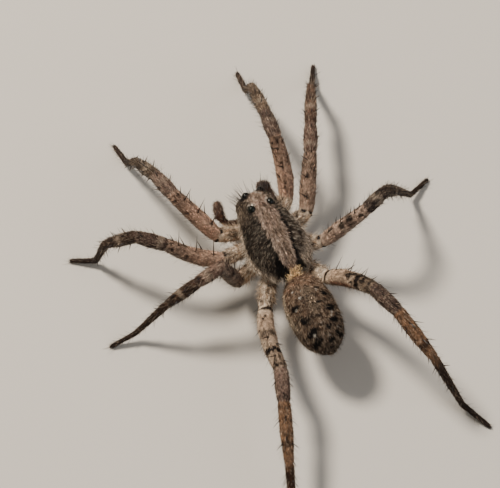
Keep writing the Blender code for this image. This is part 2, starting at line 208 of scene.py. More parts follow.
legs = {}
for number in ("I", "II", "III", "IV"):
    for side in ("left", "right"):
        stem = f"leg_{number}_{side}_"
        joints = [between(stem + a, stem + b) for a, b in
                  (("coxa", "femur"), ("femur", "patella"), ("patella", "tibia"), ("tibia", "foot"))]
        hip = farEnd(stem + "coxa", joints[0])
        tip = farEnd(stem + "foot", joints[3])
        bend = instep(joints[3], tip, footLengths[number])
        legs[number, side] = [hip, *joints, bend, tip]

legPieces = dict(coxa=0, femur=1, patella=2, tibia=3, foot=4)    # and the joint that each starts at


def bowOf(number, side):
    # how far the middle of a femur stands off the straight line between its joints
    start, end = legs[number, side][1:3]
    points = nodePoints(f"leg_{number}_{side}_femur")
    axis = unit(end - start)
    share = (points - start) @ axis / np.linalg.norm(end - start)
    near = points[np.abs(share - 1 / 3) < 0.08]
    away = near.mean(0) - start
    return away - axis * (away @ axis)


bows = {leg: bowOf(*leg) for leg in legs}


def bowAt(share):
    # share of the bow reached at each place along a femur
    return np.interp(share, (0, 1 / 3, 2 / 3, 1), (0, 1, 0.85, 0))


def limbAxes(start, end, side):
    # along a stretch of leg, up from it, and toward the spider's rear
    axis = unit(end - start)
    up = unit(np.array([0, 0, 1.0]) - axis * axis[2])
    rear = np.cross(up, axis) if side == "left" else np.cross(axis, up)
    return axis, up, rear


def alongLimb(points, start, end, side, bow=None):
    # share of the way along, and degrees round it from the top toward the rear
    axis, up, rear = limbAxes(start, end, side)
    away = points - start
    share = away @ axis / np.linalg.norm(end - start)
    if bow is not None:
        away = away - bowAt(share)[:, None] * bow
    away = away - (away @ axis)[:, None] * axis
    return share, np.degrees(np.arctan2(away @ rear, away @ up))


def limbPoints(number, side, piece):
    # the joints at the two ends of a leg's piece; a foot counts as its metatarsus
    joints = legs[number, side]
    first = dict(legPieces, metatarsus=4, tarsus=5)[piece]
    return joints[first], joints[first + 1]


print("frames found: body at", np.round(bodyCentre / mm, 2))


# one skin over all the flesh, its detail finer than the solids'
skinLook = dict(voxel=0.122, swell=0.035, smoothing=6, fold=0.07, foldReach=0.16, overFloor=0.03)
# how far the skin lies inside the solids, to leave room for the coat
coatDepth = dict(body=0.07, abdomen=0.12, hips=0.035, legs=0.05)
carapaceForm = dict(groove=0.12, furrows=0.035, hollow=0.22, furrowTurns=(20, 62, 100, 138), middle=-1.3)
eyeRim = dict(place=0.07, width=0.05, rise=0.06, lidReach=0.25)

copies = []
for name in fleshNodes + eyeNames:
    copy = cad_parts[name].copy()
    copy.data = copy.data.copy()
    bpy.context.scene.collection.objects.link(copy)
    copies.append(copy)
onlySelect(*copies)
bpy.ops.object.join()
skin = bpy.context.view_layer.objects.active
skin.name = "skin"
skin.data.name = "skin"
skin.data.materials.clear()
bpy.ops.object.mode_set(mode="EDIT")
bpy.ops.mesh.select_all(action="SELECT")
bpy.ops.mesh.remove_doubles(threshold=0.000001)
bpy.ops.object.mode_set(mode="OBJECT")
applyModifier(skin, "DISPLACE", strength=skinLook["swell"] * mm, mid_level=0.0, direction="NORMAL")
applyModifier(skin, "REMESH", mode="VOXEL", voxel_size=skinLook["voxel"] * mm, use_smooth_shade=True)
applyModifier(skin, "SMOOTH", factor=0.5, iterations=skinLook["smoothing"])

# which CAD node each point of the skin belongs to
treePoints, treeFaces, faceNode = [], [], []
for index, name in enumerate(fleshNodes):
    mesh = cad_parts[name].data
    start = len(treePoints)
    treePoints += [tuple(vertex.co) for vertex in mesh.vertices]
    treeFaces += [[start + i for i in polygon.vertices] for polygon in mesh.polygons]
    faceNode += [index] * len(mesh.polygons)
fleshTree = BVHTree.FromPolygons(treePoints, treeFaces)


def nodesOf(points):
    return np.array([faceNode[fleshTree.find_nearest(Vector(point))[2]] for point in points])


def depthOver(name):
    if name == "abdomen":
        return coatDepth["abdomen"]
    if name.startswith("pedipalp") or name.endswith("coxa"):
        return coatDepth["hips"]
    return coatDepth["legs" if name.startswith("leg_") else "body"]


def jointFolds(name, points):
    # the skin draws in at both ends of a leg's piece
    _, number, side, piece = name.split("_")
    start, end = limbPoints(number, side, piece)
    length = np.linalg.norm(end - start) / mm
    share, _ = alongLimb(points, start, end, side)
    pinch = np.zeros(len(points))
    if piece != "coxa":
        pinch += np.exp(-(share * length / skinLook["foldReach"]) ** 2)
    if piece != "foot":
        pinch += np.exp(-((share - 1) * length / skinLook["foldReach"]) ** 2)
    return -skinLook["fold"] * pinch


def carapaceFolds(points):
    # the groove in the middle, shallow furrows out between the legs, hollows beside the waist
    x, y, _ = inBody(points).T
    across, ahead = np.abs(x), y - carapaceForm["middle"]
    groove = np.exp(-(x / 0.10) ** 2) * soft(y, -2.1, -1.6) * soft(y, -0.6, -1.0)
    furrows = np.zeros(len(points))
    for degrees in carapaceForm["furrowTurns"]:
        turn = math.radians(degrees)
        off = np.abs(ahead * math.sin(turn) - across * math.cos(turn))
        out = np.hypot(x, ahead)
        furrows += np.exp(-(off / 0.16) ** 2) * soft(out, 0.5, 1.2) * soft(out, 3.2, 2.0)
    hollow = soft(y, -2.9, -3.5) * soft(across, 0.62, 0.85) * soft(across, 1.5, 1.2)
    forms = dict(groove=groove, furrows=furrows, hollow=hollow)
    return -sum(carapaceForm[form] * share for form, share in forms.items())


skinPoints = meshPoints(skin.data)
skinNode = nodesOf(skinPoints)
skinNormals = meshPoints(skin.data, name="normal")
lift = np.zeros(len(skinPoints))
for index, name in enumerate(fleshNodes):
    here = skinNode == index
    if name.startswith("leg_"):
        lift[here] = jointFolds(name, skinPoints[here])
    elif name == "carapace":
        lift[here] = carapaceFolds(skinPoints[here])
    lift[here] -= depthOver(name) + skinLook["swell"]
skinPoints = skinPoints + skinNormals * lift[:, None] * mm

for name, centre, radius in zip(eyeNames, eyeCentres, eyeRadii):
    away = skinPoints - centre
    gap = np.linalg.norm(away, axis=1)
    edge = radius + eyeRim["place"] * mm
    ring = np.exp(-((gap - edge) / (eyeRim["width"] * mm)) ** 2)
    skinPoints += skinNormals * (ring * eyeRim["rise"] * mm)[:, None]
    if "median_rear" in name:
        # a lid of skin over the rear half of the eye
        inward = bodyAcross * (1 if "left" in name else -1)
        lidSide = unit(-0.8 * bodyAhead + 0.6 * bodyUp + 0.25 * inward)
        lid = soft(away @ lidSide / np.maximum(gap, 1e-9), 0.34, 0.56)
        lid *= soft(gap, radius + eyeRim["lidReach"] * mm, radius + 0.1 * mm)
        skinPoints += unit(away) * ((np.maximum(gap, edge) - gap) * lid)[:, None]
skinPoints[:, 2] = np.maximum(skinPoints[:, 2], skinLook["overFloor"] * mm)
skin.data.vertices.foreach_set("co", skinPoints.ravel())
skin.data.update()
skinNormals = meshPoints(skin.data, name="normal")
print("skin:", len(skin.data.polygons), "faces")


# the markings, which skin and coat share
bodyTones = {key: tone(value) for key, value in dict(
    band="86705f", bandPale="b8a392", bandPink="937868", flank="352c24", flankPale="8a8072",
    edge="0a0705", margin="ab9580", marginPale="dccbb5", faceGrey="96836f", white="efe6d6",
    orange="c07a48", black="030202", abdomen="6a5342", abdomenPale="a08a74", abdomenDark="261c15",
    abdomenFront="8a6b56", heart="6f6050", flankLine="d6c4a8", venter="7c6a58", gold="fcdaa6",
    hipTan="b08a66", blueBlack="0d1016", under="4a3a2e", dark="33251c", palp="553a2d",
    palpTip="8c6a58").items()}

# half width of the pale band to the left and right, by place along the body
bandShape = dict(place=(-4.5, -3.8, -3.3, -2.3, -1.2, -0.2, 0.8, 1.7, 2.5, 3.2, 3.8),
                 left=(0.30, 0.36, 0.50, 0.60, 0.70, 0.82, 0.92, 0.76, 0.70, 0.62, 0.70),
                 right=(0.50, 0.62, 0.68, 0.78, 0.80, 0.84, 0.94, 0.80, 0.80, 0.95, 1.00))


def bandHalf(x, y):
    # its ragged half width on the side that x lies on
    half = np.where(x < 0, np.interp(y, bandShape["place"], bandShape["left"]),
                    np.interp(y, bandShape["place"], bandShape["right"]))
    wave = cloud(np.stack([np.sign(x) * 5, y, y * 0], 1), 0.42, 3) - 0.5
    ragged = cloud(np.stack([np.sign(x) * 5, y, y * 0], 1), 0.13, 6) - 0.5
    return half + (wave * 0.36 + ragged * 0.14) * soft(y, 2.4, 1.2)


def shadowWedges(points):
    # how much each place belongs to the black wedges beside the tail of the band: painted shadow where the
    # rear slope of the carapace falls into deep shade by the waist
    x, y, _ = inBody(points).T
    out = np.abs(x)
    widest, full = (np.interp(y, (-4.3, -2.3), halves) for halves in ((1.62, 0.85), (1.35, 0.75)))
    outerEdge = soft(out, widest, full)
    return soft(out - bandHalf(x, y), -0.05, 0.06) * soft(y, -2.3, -3.1) * outerEdge


def paintCarapace(points):
    local = inBody(points)
    x, y, z = local.T
    out = np.abs(x)
    onRight = x > 0
    fine = cloud(local, 0.13, 1)
    coarse = cloud(local, 0.55, 2)
    speckle = cloud(local, 0.10, 7)
    past = out - bandHalf(x, y)
    # flanks: dark, with paler streaks running out and back from the band
    across = 0.94 * y + 0.35 * out
    run = 0.94 * out - 0.35 * y
    streaks = cloud(np.stack([across, run, np.sign(x)], 1), np.array([0.075, 0.26, 1.0]), 4)
    flank = mix(bodyTones["flank"], bodyTones["flankPale"], soft(streaks, 0.55, 0.85) * 0.7)
    flank = flank * ((0.55 + 0.6 * coarse) * np.where(onRight, 1.9, 0.95))[:, None]
    # black line beside the band, broad and full on the right, faint on the left
    faint = soft(past, 0.28, 0.14) * 0.6 * soft(coarse, 0.1, 0.35)
    border = np.where(onRight, soft(past, 0.36, 0.22), faint) * soft(y, 1.9, 0.9)
    colour = mix(flank, bodyTones["edge"], border)
    # pale margin, which reaches higher on the right
    margin = soft(z, np.where(onRight, 1.55, 0.85), np.where(onRight, 0.85, 0.3)) * soft(y, 3.2, 2.2)
    colour = mix(colour, mix(bodyTones["margin"], bodyTones["marginPale"], fine), margin * 0.9)
    # sides of the head: grey brown
    greyShare = soft(fine, 0.3, 0.7) * (0.35 + 0.5 * coarse)
    cheek = mix(bodyTones["flank"] * 1.3, bodyTones["faceGrey"], greyShare)
    cheek = mix(cheek, bodyTones["flank"] * 0.5, soft(speckle, 0.42, 0.28) * 0.8)
    cheek = mix(cheek, bodyTones["bandPale"], soft(speckle, 0.68, 0.8) * 0.5)
    colour = mix(colour, cheek, soft(y, 0.7, 1.7) * 0.95)
    colour = mix(colour, paintBand(x, y, coarse, speckle, past), soft(past, 0.04, -0.03))
    # painted shadow: the black wedges beside the tail of the band
    colour = mix(colour, bodyTones["black"], shadowWedges(points) * 0.97)
    colour = mix(colour, bodyTones["faceGrey"] * 0.8, soft(y, 3.45, 3.7) * soft(z, 1.7, 1.3) * 0.8)
    return paintEyeRims(colour, points, fine)


def paintBand(x, y, coarse, speckle, past):
    # fine streaks along it, pinker toward the head, with a pale edge behind the eyes
    along = cloud(np.stack([x, y, x * 0], 1), np.array([0.11, 0.7, 1.0]), 5)
    band = mix(bodyTones["band"], bodyTones["bandPale"], soft(along, 0.50, 0.9) * 0.7)
    band = mix(band, bodyTones["bandPink"], soft(coarse, 0.4, 0.7) * soft(y, -1.5, 1.5))
    band = mix(band, bodyTones["dark"], soft(along, 0.40, 0.15) * 0.55)
    band = mix(band, bodyTones["bandPale"] * 1.1, soft(speckle, 0.62, 0.8) * 0.6)
    band = mix(band, bodyTones["dark"], soft(speckle, 0.36, 0.2) * 0.7)
    band = mix(band, bodyTones["bandPale"], np.exp(-((past + 0.12) / 0.09) ** 2) * soft(y, 1.8, 0.8) * 0.6)
    return band * (1 + 0.25 * soft(y, -2.0, -3.2))[:, None]


# Pale arc by an eye: how much its side counts ahead and inward, where it starts and is full, and
# its half width. Then the width of the black rim round each kind of eye.
eyeArcs = dict(lateral_rear_left=(0.9, 0.35, 0.45, 0.75, 0.06),
               lateral_rear_right=(0.5, 0.9, 0.5, 0.8, 0.06))
medianArc = (-0.6, 0.7, 0.45, 0.8, 0.08)
blackRims = dict(median_rear=0.24, lateral_rear=0.10, median_front=0.09, lateral_front=0.09)


def paintEyeRims(colour, points, fine):
    x, y, _ = inBody(points).T
    for name, centre, radius in zip(eyeNames, eyeCentres, eyeRadii):
        label = name.removeprefix("eye_")
        kind = label.rsplit("_", 1)[0]
        away = np.linalg.norm(points - centre, axis=1) / mm
        gap = away - radius / mm
        eye = inBody(centre[None])[0]
        ahead = (y - eye[1]) / away
        inner = (eye[0] - x) * np.sign(eye[0]) / away
        aheadShare, innerShare, start, full, halfWidth = eyeArcs.get(label, medianArc)
        arc = soft(ahead * aheadShare + inner * innerShare, start, full)
        arc = arc * np.exp(-((gap - 0.13) / halfWidth) ** 2)
        if "rear" in kind:
            shade = mix(bodyTones["white"], bodyTones["orange"], 0.5) if label == "median_rear_left" \
                else bodyTones["white"]
            colour = mix(colour, shade, arc * soft(fine, 0.2, 0.6) * 0.7)
        rim = np.full(len(points), blackRims[kind])
        if kind == "median_rear":
            rim = rim * (0.45 + 0.55 * soft(ahead - inner * 0.6, -0.5, 0.5))    # wider down the face
        colour = mix(colour, bodyTones["black"], np.clip((rim - gap) / (rim * 0.5), 0, 1) * (1 - arc * 0.5))
    return colour


# spots on the abdomen: across (right is positive), behind its front tip, radius
abdomenMarks = dict(
    dark=((-0.57, 2.75, 0.18), (-1.43, 3.18, 0.26), (1.33, 3.03, 0.22), (0.84, 2.32, 0.17),
          (1.21, 4.36, 0.30), (-1.50, 4.30, 0.16), (-1.10, 4.64, 0.32), (1.04, 5.46, 0.26),
          (-1.12, 5.70, 0.32), (0.40, 5.85, 0.24), (1.08, 6.48, 0.24), (-1.02, 6.45, 0.30),
          (0.20, 6.75, 0.18), (0.60, 3.66, 0.16)),
    pale=((-0.80, 2.62, 0.12), (-0.47, 2.10, 0.06), (-1.05, 1.78, 0.09), (0.78, 2.52, 0.09),
          (-1.48, 3.36, 0.09), (1.14, 4.82, 0.11), (-0.15, 5.40, 0.07), (-1.03, 5.98, 0.12),
          (1.12, 6.05, 0.08), (0.15, 6.50, 0.06), (0.95, 5.10, 0.07)))


def paleMarks(points):
    # how much each place belongs to one of the pale dots
    x, y, z = inAbdomen(points).T
    share = np.zeros(len(points))
    for across, place, radius in abdomenMarks["pale"]:
        gap = np.hypot(x - across, -y - place)
        share = np.maximum(share, soft(gap, radius * 1.3, radius * 0.7))
    return share * soft(z, -0.2, 0.7)


def paintAbdomen(points):
    local = inAbdomen(points)
    x, y, z = local.T
    back = -y
    out = np.abs(x)
    top = soft(z, -0.2, 0.7)
    fine = cloud(local, 0.14, 11)
    coarse = cloud(local, 0.45, 12)
    grit = cloud(local, 0.115, 13)
    colour = mix(bodyTones["abdomen"], bodyTones["abdomenPale"], soft(fine, 0.40, 0.9) * 0.6)
    colour = mix(colour, bodyTones["abdomenFront"], soft(back, 2.6, 0.8) * 0.8)
    heart = soft(out, 0.60, 0.35) * soft(back, 1.6, 2.2) * soft(back, 5.0, 4.0)
    colour = mix(colour, bodyTones["heart"], heart * 0.8)
    patches = soft(coarse, 0.42, 0.68) * (0.2 + 0.5 * soft(back, 2.2, 4.6)) * (1 - heart * 0.5)
    colour = mix(colour, bodyTones["abdomenDark"], patches)
    colour = mix(colour, bodyTones["abdomenDark"], soft(back, 4.6, 6.8) * 0.5)
    # bent pale bars across the rear half, each with a dark one before it
    bars = np.sin((back + 0.45 * out + 0.7 * (coarse - 0.5)) * 2 * math.pi / 0.86)
    rear = soft(back, 3.6, 4.8) * top
    colour = mix(colour, bodyTones["abdomenPale"], soft(bars, 0.5, 0.95) * rear * 0.45)
    darkBars = soft(bars, -0.4, -0.9) * rear * soft(coarse, 0.3, 0.6)
    colour = mix(colour, bodyTones["abdomenDark"], darkBars * 0.8)
    # dark and pale grit, then the spots
    colour = mix(colour, bodyTones["abdomenDark"], soft(grit, 0.58, 0.72) * 0.85)
    colour = mix(colour, bodyTones["abdomenPale"] * 1.3, soft(grit, 0.36, 0.22) * 0.6)
    for across, place, radius in abdomenMarks["dark"]:
        gap = np.hypot((x - across) * 0.72, (back - place) * 1.1)
        gap = gap + (fine - 0.5) * 0.25 + (coarse - 0.5) * 0.3
        colour = mix(colour, bodyTones["black"], soft(gap, radius * 1.3, radius * 0.6) * top)
    colour = mix(colour, bodyTones["white"], paleMarks(points) * (0.35 + 0.6 * coarse))
    # pale line along the flank, and a faint wash below it
    line = np.exp(-((z - 0.75) / 0.24) ** 2) * soft(out, 1.2, 1.6) * 0.8
    line = np.clip(line + soft(out, 1.4, 1.8) * soft(z, 0.8, 0.3) * 0.2, 0, 1)
    colour = mix(colour, bodyTones["flankLine"], line * soft(back, 5.2, 3.6) * soft(fine, 0.0, 0.3) * 0.95)
    colour = mix(colour, bodyTones["venter"], soft(z, -0.2, -1.3) * 0.85)
    # gold under the tuft, and painted shade, near black, on the front face beside the waist on the left
    underTuft = soft(back, 0.45, 0.1) * soft(z, 0.1, 0.6) * soft(np.abs(x + 0.1), 0.75, 0.4)
    colour = mix(colour, bodyTones["gold"] * 0.6, underTuft * soft(fine, 0.2, 0.6))
    paintedShade = soft(back, 1.25, 0.5) * soft(x, -0.45, -0.8) * soft(z, 1.7, 1.1)
    return mix(colour, bodyTones["black"], paintedShade * 0.9)


# each leg's tones: femur, patella, tibia, metatarsus, tarsus
legTones = {
    "I": ("b18f78", "82695c", "76614f", "4d3a2b", "3f3028"),
    "II": ("b0907a", "7c6255", "7a5c4b", "4b3728", "3b2c24"),
    "III": ("9c8473", "715a4e", "604534", "463224", "3c2c22"),
    "IV": ("c0a48a", "82695c", "8a684e", "472f20", "403026")}
# how much lighter or darker each of those is on its own leg: partly the leg's own tone, partly painted
# light and shade for how the light falls on each leg
legToneAndPaintedLight = {
    ("I", "left"): (1.55, 0.72, 0.42, 0.6, 0.7), ("I", "right"): (1.40, 0.52, 0.72, 0.8, 0.8),
    ("II", "left"): (1.42, 0.42, 0.30, 0.4, 0.5), ("II", "right"): (0.76, 0.80, 0.76, 0.9, 0.8),
    ("III", "left"): (1.0, 1.3, 0.54, 0.5, 0.6), ("III", "right"): (1.8, 0.27, 0.42, 0.5, 0.6),
    ("IV", "left"): (1.05, 0.88, 0.92, 0.75, 0.8), ("IV", "right"): (1.32, 0.52, 1.15, 0.7, 0.8)}
# how much darker the far end of each thigh is than its root
thighEnd = {("I", "left"): 0.68, ("I", "right"): 0.58, ("II", "left"): 0.60, ("II", "right"): 0.9,
            ("III", "left"): 0.9, ("III", "right"): 0.85, ("IV", "left"): 0.66, ("IV", "right"): 0.27}
# rings by piece: share along it, half width, how strong, d for dark or p for pale
legRings = {
    "I": dict(femur=((0.93, 0.25, 0.35, "d"),),
              patella=((0.55, 0.35, 0.12, "p"),),
              tibia=((0.30, 0.35, 0.35, "p"), (0.62, 0.45, 0.35, "d"))),
    "II": dict(femur=((0.75, 0.4, 0.25, "d"),),
               patella=((0.22, 0.25, 0.3, "p"),),
               tibia=((0.12, 0.4, 0.4, "d"), (0.42, 0.3, 0.35, "p"), (0.72, 0.5, 0.4, "d"))),
    "III": dict(femur=((0.30, 0.3, 0.35, "d"), (0.68, 0.4, 0.6, "d"), (0.52, 0.2, 0.4, "p")),
                patella=((0.5, 0.4, 0.4, "p"),),
                tibia=((0.2, 0.4, 0.45, "d"), (0.5, 0.25, 0.45, "p"), (0.85, 0.4, 0.5, "d"))),
    "IV": dict(femur=((0.47, 0.28, 0.45, "d"), (0.74, 0.30, 1.0, "d"), (0.97, 0.15, 0.5, "d"),
                      (0.62, 0.3, 0.3, "p")),
               patella=((0.88, 0.2, 0.45, "d"),),
               tibia=((0.1, 0.3, 0.25, "d"), (0.70, 0.3, 0.65, "d")))}
# spines by piece: share along it, places round it in degrees from the top toward the rear, length,
# degrees of rise
legSpines = dict(femur=((0.24, (-14,), 1.35, 44), (0.55, (-10,), 1.4, 42), (0.84, (-14,), 1.2, 42),
                        (0.40, (-52,), 1.0, 40), (0.72, (-50,), 1.0, 40), (0.93, (-52,), 0.7, 40),
                        (0.66, (50,), 0.9, 50), (0.93, (52,), 0.6, 48)),
                 patella=((0.80, (0,), 0.55, 50), (0.45, (78, -78), 0.6, 45)),
                 tibia=((0.25, (5,), 0.7, 46), (0.62, (-5,), 0.7, 46), (0.30, (72,), 0.8, 46),
                        (0.68, (72,), 0.8, 46), (0.30, (-72,), 0.8, 46), (0.68, (-72,), 0.8, 46),
                        (0.22, (150, -150), 0.9, 42), (0.58, (150, -150), 0.9, 42),
                        (0.93, (145, -145), 0.7, 38)),
                 metatarsus=((0.16, (140, -140), 0.9, 40), (0.20, (70, -70), 0.7, 42),
                             (0.52, (120, -120), 0.75, 38), (0.55, (55,), 0.6, 40),
                             (0.92, (60, -60), 0.45, 40), (0.92, (140, -140), 0.5, 38)))
# spots by piece: share along it, degrees from the top toward the rear, radius, strength
legSpots = {
    ("I", "left"): dict(femur=((0.97, 30, 0.16, 0.9), (0.97, -30, 0.16, 0.9)),
                        tibia=((0.5, 0, 0.25, 0.4),)),
    ("I", "right"): dict(femur=((0.29, -7, 0.17, 0.95), (0.61, -16, 0.15, 0.95), (0.84, -70, 0.2, 0.95),
                                (0.97, 0, 0.2, 0.9), (0.72, 30, 0.2, 0.4))),
    ("II", "left"): dict(femur=((0.96, 60, 0.18, 0.9), (0.96, -60, 0.18, 0.9), (0.96, 0, 0.12, 0.8),
                                (0.42, -20, 0.2, 0.35), (0.74, -45, 0.25, 0.4)),
                         patella=((0.9, 20, 0.2, 0.6),)),
    ("II", "right"): dict(femur=((0.23, 4, 0.16, 0.95), (0.58, -14, 0.18, 0.95), (0.81, -80, 0.2, 0.95),
                                 (0.98, 10, 0.2, 0.95), (0.98, -40, 0.16, 0.9), (0.4, 45, 0.2, 0.4))),
    ("III", "left"): dict(femur=((0.45, 0, 0.35, 0.6),),
                          patella=((0.3, 20, 0.3, 0.5), (0.8, -20, 0.25, 0.7)),
                          tibia=((0.35, 30, 0.25, 0.6), (0.75, -20, 0.3, 0.7))),
    ("III", "right"): dict(femur=((0.30, -20, 0.25, 0.8), (0.52, 20, 0.32, 0.9), (0.55, -45, 0.28, 0.9),
                                  (0.70, 0, 0.35, 0.9), (0.90, 35, 0.28, 0.9), (0.90, -35, 0.26, 0.9)),
                           patella=((0.4, 30, 0.3, 0.7), (0.6, -30, 0.3, 0.7)),
                           tibia=((0.5, 0, 0.3, 0.6),)),
    ("IV", "left"): dict(femur=((0.21, 0, 0.17, 0.85), (0.14, -50, 0.15, 0.6), (0.47, 28, 0.34, 0.65),
                                (0.47, -28, 0.34, 0.65), (0.86, 20, 0.18, 0.8), (0.90, -30, 0.16, 0.8),
                                (0.98, 0, 0.14, 0.95), (0.98, 45, 0.14, 0.95), (0.98, -45, 0.14, 0.95))),
    ("IV", "right"): dict(femur=((0.17, -49, 0.15, 0.9), (0.56, 8, 0.34, 0.95), (0.63, -25, 0.34, 0.95),
                                 (0.36, 10, 0.2, 0.5), (0.84, 10, 0.26, 0.95), (0.84, -40, 0.24, 0.95),
                                 (0.98, 30, 0.15, 0.95), (0.98, -10, 0.15, 0.95), (0.98, -50, 0.15, 0.95)),
                          patella=((0.4, 0, 0.25, 0.5),),
                          tibia=((0.92, 0, 0.3, 0.6),))}
legLine = tone("120b08")
cream = tone("cdb8a0")
rust = tone("7a4226")


# sizes of the streaks, blotches and specks on the legs; streaks go by the radius of a leg
legGrain = dict(streakLength=0.55, streakWidth=0.14, radius=0.7, blotch=0.42, fine=0.13, pepper=0.115)
# along the femur of leg IV: black line, dark shield, inner line, and how far round the shield is turned
collarFour = dict(line=0.72, lineWidth=0.055, shield=0.68, inner=0.14, turn=dict(left=38, right=0))


def paintLeg(name, points):
    _, number, side, piece = name.split("_")
    seed = 20 + 7 * len(number) + (3 if side == "left" else 0)
    # each piece's tone times its factor, which holds painted light and shade as well as tone
    tones = [tone(value) * shade for value, shade in zip(legTones[number], legToneAndPaintedLight[number, side])]
    start, end = limbPoints(number, side, piece)
    share, angle = alongLimb(points, start, end, side, bows[number, side] if piece == "femur" else None)
    if piece == "foot":
        return paintFoot(points, share, angle, tones, seed)
    length = np.linalg.norm(end - start) / mm
    wrap = np.radians(angle)
    girth = legGrain["radius"] / legGrain["streakWidth"]
    along = share * length / legGrain["streakLength"]
    grain = np.stack([along, np.cos(wrap) * girth, np.sin(wrap) * girth], 1)
    streaks = cloud(grain, 1.0, seed)
    blotch = cloud(points, legGrain["blotch"] * mm, seed + 1)
    fine = cloud(points, legGrain["fine"] * mm, seed + 2)
    top = soft(np.abs(angle), 130, 70)
    if piece == "coxa":
        return paintHip(number, (1 - share) * length, angle, streaks, blotch, fine, top)
    base = tones[legPieces[piece] - 1]
    colour = mix(base * 0.72, base, soft(streaks, 0.15, 0.5))
    colour = mix(colour, cream, soft(streaks, 0.66, 0.95) * (0.4 if piece == "femur" else 0.16))
    colour = colour * (0.62 + 0.76 * fine)[:, None]
    pepper = cloud(points, legGrain["pepper"] * mm, seed + 3)
    colour = mix(colour, base * 0.3, soft(pepper, 0.62, 0.76) * 0.6)
    colour = mix(colour, cream, soft(pepper, 0.30, 0.18) * 0.3)
    spotty = {"III": 0.75, "IV": 0.5}.get(number, 0.4) + (0.15 if piece in ("patella", "tibia") else 0)
    ragged = blotch + (streaks - 0.5) * 0.5
    colour = mix(colour, base * 0.25, soft(ragged, 0.62, 0.84) * spotty)
    if piece == "femur":
        colour = paintThigh(colour, number, side, share, angle, length)
        knee = np.exp(-((length * (share - 1) + 0.14) / 0.10) ** 2)
        colour = mix(colour, legLine, knee * soft(np.cos(wrap * 3), 0.1, 0.7) * top * 0.9)
    colour = paintRings(colour, number, side, piece, share, angle, length, streaks, fine, top)
    # sides and underside: greyer, then darker
    greyer = colour.mean(1, keepdims=True) * np.array([1.16, 1.0, 0.84])
    colour = mix(colour, greyer, soft(np.abs(angle), 60, 110) * (0.55 if number != "IV" else 0.2))
    return mix(colour, base * 0.55, soft(top, 0.5, 0.0) * 0.4)


def paintFoot(points, share, angle, tones, seed):
    colour = mix(tones[3], tones[4], soft(share, 0.5, 1.1))
    bands = cloud(np.stack([share * 5, angle / 300, share * 0], 1), 0.6, seed)
    colour = colour * (0.65 + 0.7 * bands)[:, None]
    colour = mix(colour, tones[2], soft(share, 0.12, 0.0) * 0.6)
    return colour * (0.8 + 0.4 * cloud(points, 0.15 * mm, seed + 1))[:, None]


def paintHip(number, near, angle, streaks, blotch, fine, top):
    # near is the distance in mm from the joint with the thigh
    colour = mix(bodyTones["margin"], bodyTones["marginPale"] * 1.3, soft(fine, 0.25, 0.7))
    colour = mix(colour, bodyTones["hipTan"], soft(streaks, 0.4, 0.7) * 0.6)
    colour = mix(colour, bodyTones["under"], soft(top, 0.5, 0.0) * 0.7)
    colour = mix(colour, bodyTones["dark"], soft(blotch, 0.52, 0.66) * 0.85)
    if number == "IV":
        colour = mix(colour, bodyTones["dark"], np.exp(-((near - 0.10) / 0.06) ** 2) * 0.8)
        return mix(colour, bodyTones["dark"], np.exp(-((near - 0.42) / 0.06) ** 2) * 0.5)
    # pale ring round the joint, a blue black shield on its front, a black line at its edge
    colour = mix(colour, cream, soft(near, 0.60, 0.54) * 0.85)
    shield = np.hypot(near - 0.30, (angle + 15) / 57.3 * 0.6)
    colour = mix(colour, bodyTones["blueBlack"], soft(shield, 0.34, 0.20))
    return mix(colour, legLine, soft(near, 0.11, 0.05))


def paintThigh(colour, number, side, share, angle, length):
    # darker far end, rust along the rear side, and the collar at the root
    out = share * length
    colour = colour * (1 + (thighEnd[number, side] - 1) * soft(share, 0.3, 0.85))[:, None]
    if number == "IV":
        paleSides = np.exp(-((np.abs(angle) - 75) / 22) ** 2)
        colour = mix(colour, cream, paleSides * soft(share, 0.95, 0.8) * 0.6)
    rusty = np.exp(-((angle - 88) / 20) ** 2) * soft(share, 0.75, 0.55)
    colour = mix(colour, rust, rusty * (0.85 if number == "IV" else 0.2))
    if number != "IV":
        colour = mix(colour, legLine, soft(out, 0.16, 0.04) * 0.9)
        return mix(colour, cream, np.exp(-((out - 0.30) / 0.10) ** 2) * 0.25)
    colour = mix(colour, cream * 1.1, soft(out, 1.5, 0.8) * 0.6)
    colour = mix(colour, cream * 1.2, soft(out, 0.72, 0.64) * 0.9)
    turned = np.abs(angle - collarFour["turn"][side])
    straight = out + 0.35 * (1 - np.cos(np.radians(turned)))      # the line bows back round the leg
    shield = soft(collarFour["shield"] - straight + turned / 250, 0.40, 0.30) * soft(straight, 0.74, 0.66)
    colour = mix(colour, bodyTones["dark"] * 0.7, shield)
    line = np.exp(-((straight - collarFour["line"]) / collarFour["lineWidth"]) ** 2)
    colour = mix(colour, legLine, line)
    return mix(colour, bodyTones["dark"], np.exp(-((out - collarFour["inner"]) / 0.05) ** 2) * 0.8)


def paintRings(colour, number, side, piece, share, angle, length, streaks, fine, top):
    # rings, spots, and a dark dot at the root of each spine
    for place, halfWidth, strength, kind in legRings[number].get(piece, ()):
        ragged = (share - place) * length + (fine - 0.5) * 0.25 + (streaks - 0.5) * 0.3
        ring = soft(np.abs(ragged), halfWidth * 1.3, halfWidth * 0.5) * strength * (0.35 + 0.65 * top)
        colour = mix(colour, legLine * 1.6 if kind == "d" else cream * 0.85, ring)
    for place, around, radius, strength in legSpots[number, side].get(piece, ()):
        gap = np.hypot((share - place) * length * 0.85, (angle - around) / 57.3 * 0.65)
        gap = gap + (fine - 0.5) * 0.16 + (streaks - 0.5) * 0.22
        colour = mix(colour, legLine * 1.4, soft(gap, radius * 1.2, radius * 0.55) * strength)
    for place, places, _, _ in legSpines.get(piece, ()):
        for around in places:
            gap = np.hypot((share - place) * length, (angle - around) / 57.3 * 0.65)
            colour = mix(colour, legLine, soft(gap, 0.15, 0.07) * 0.9)
    return colour


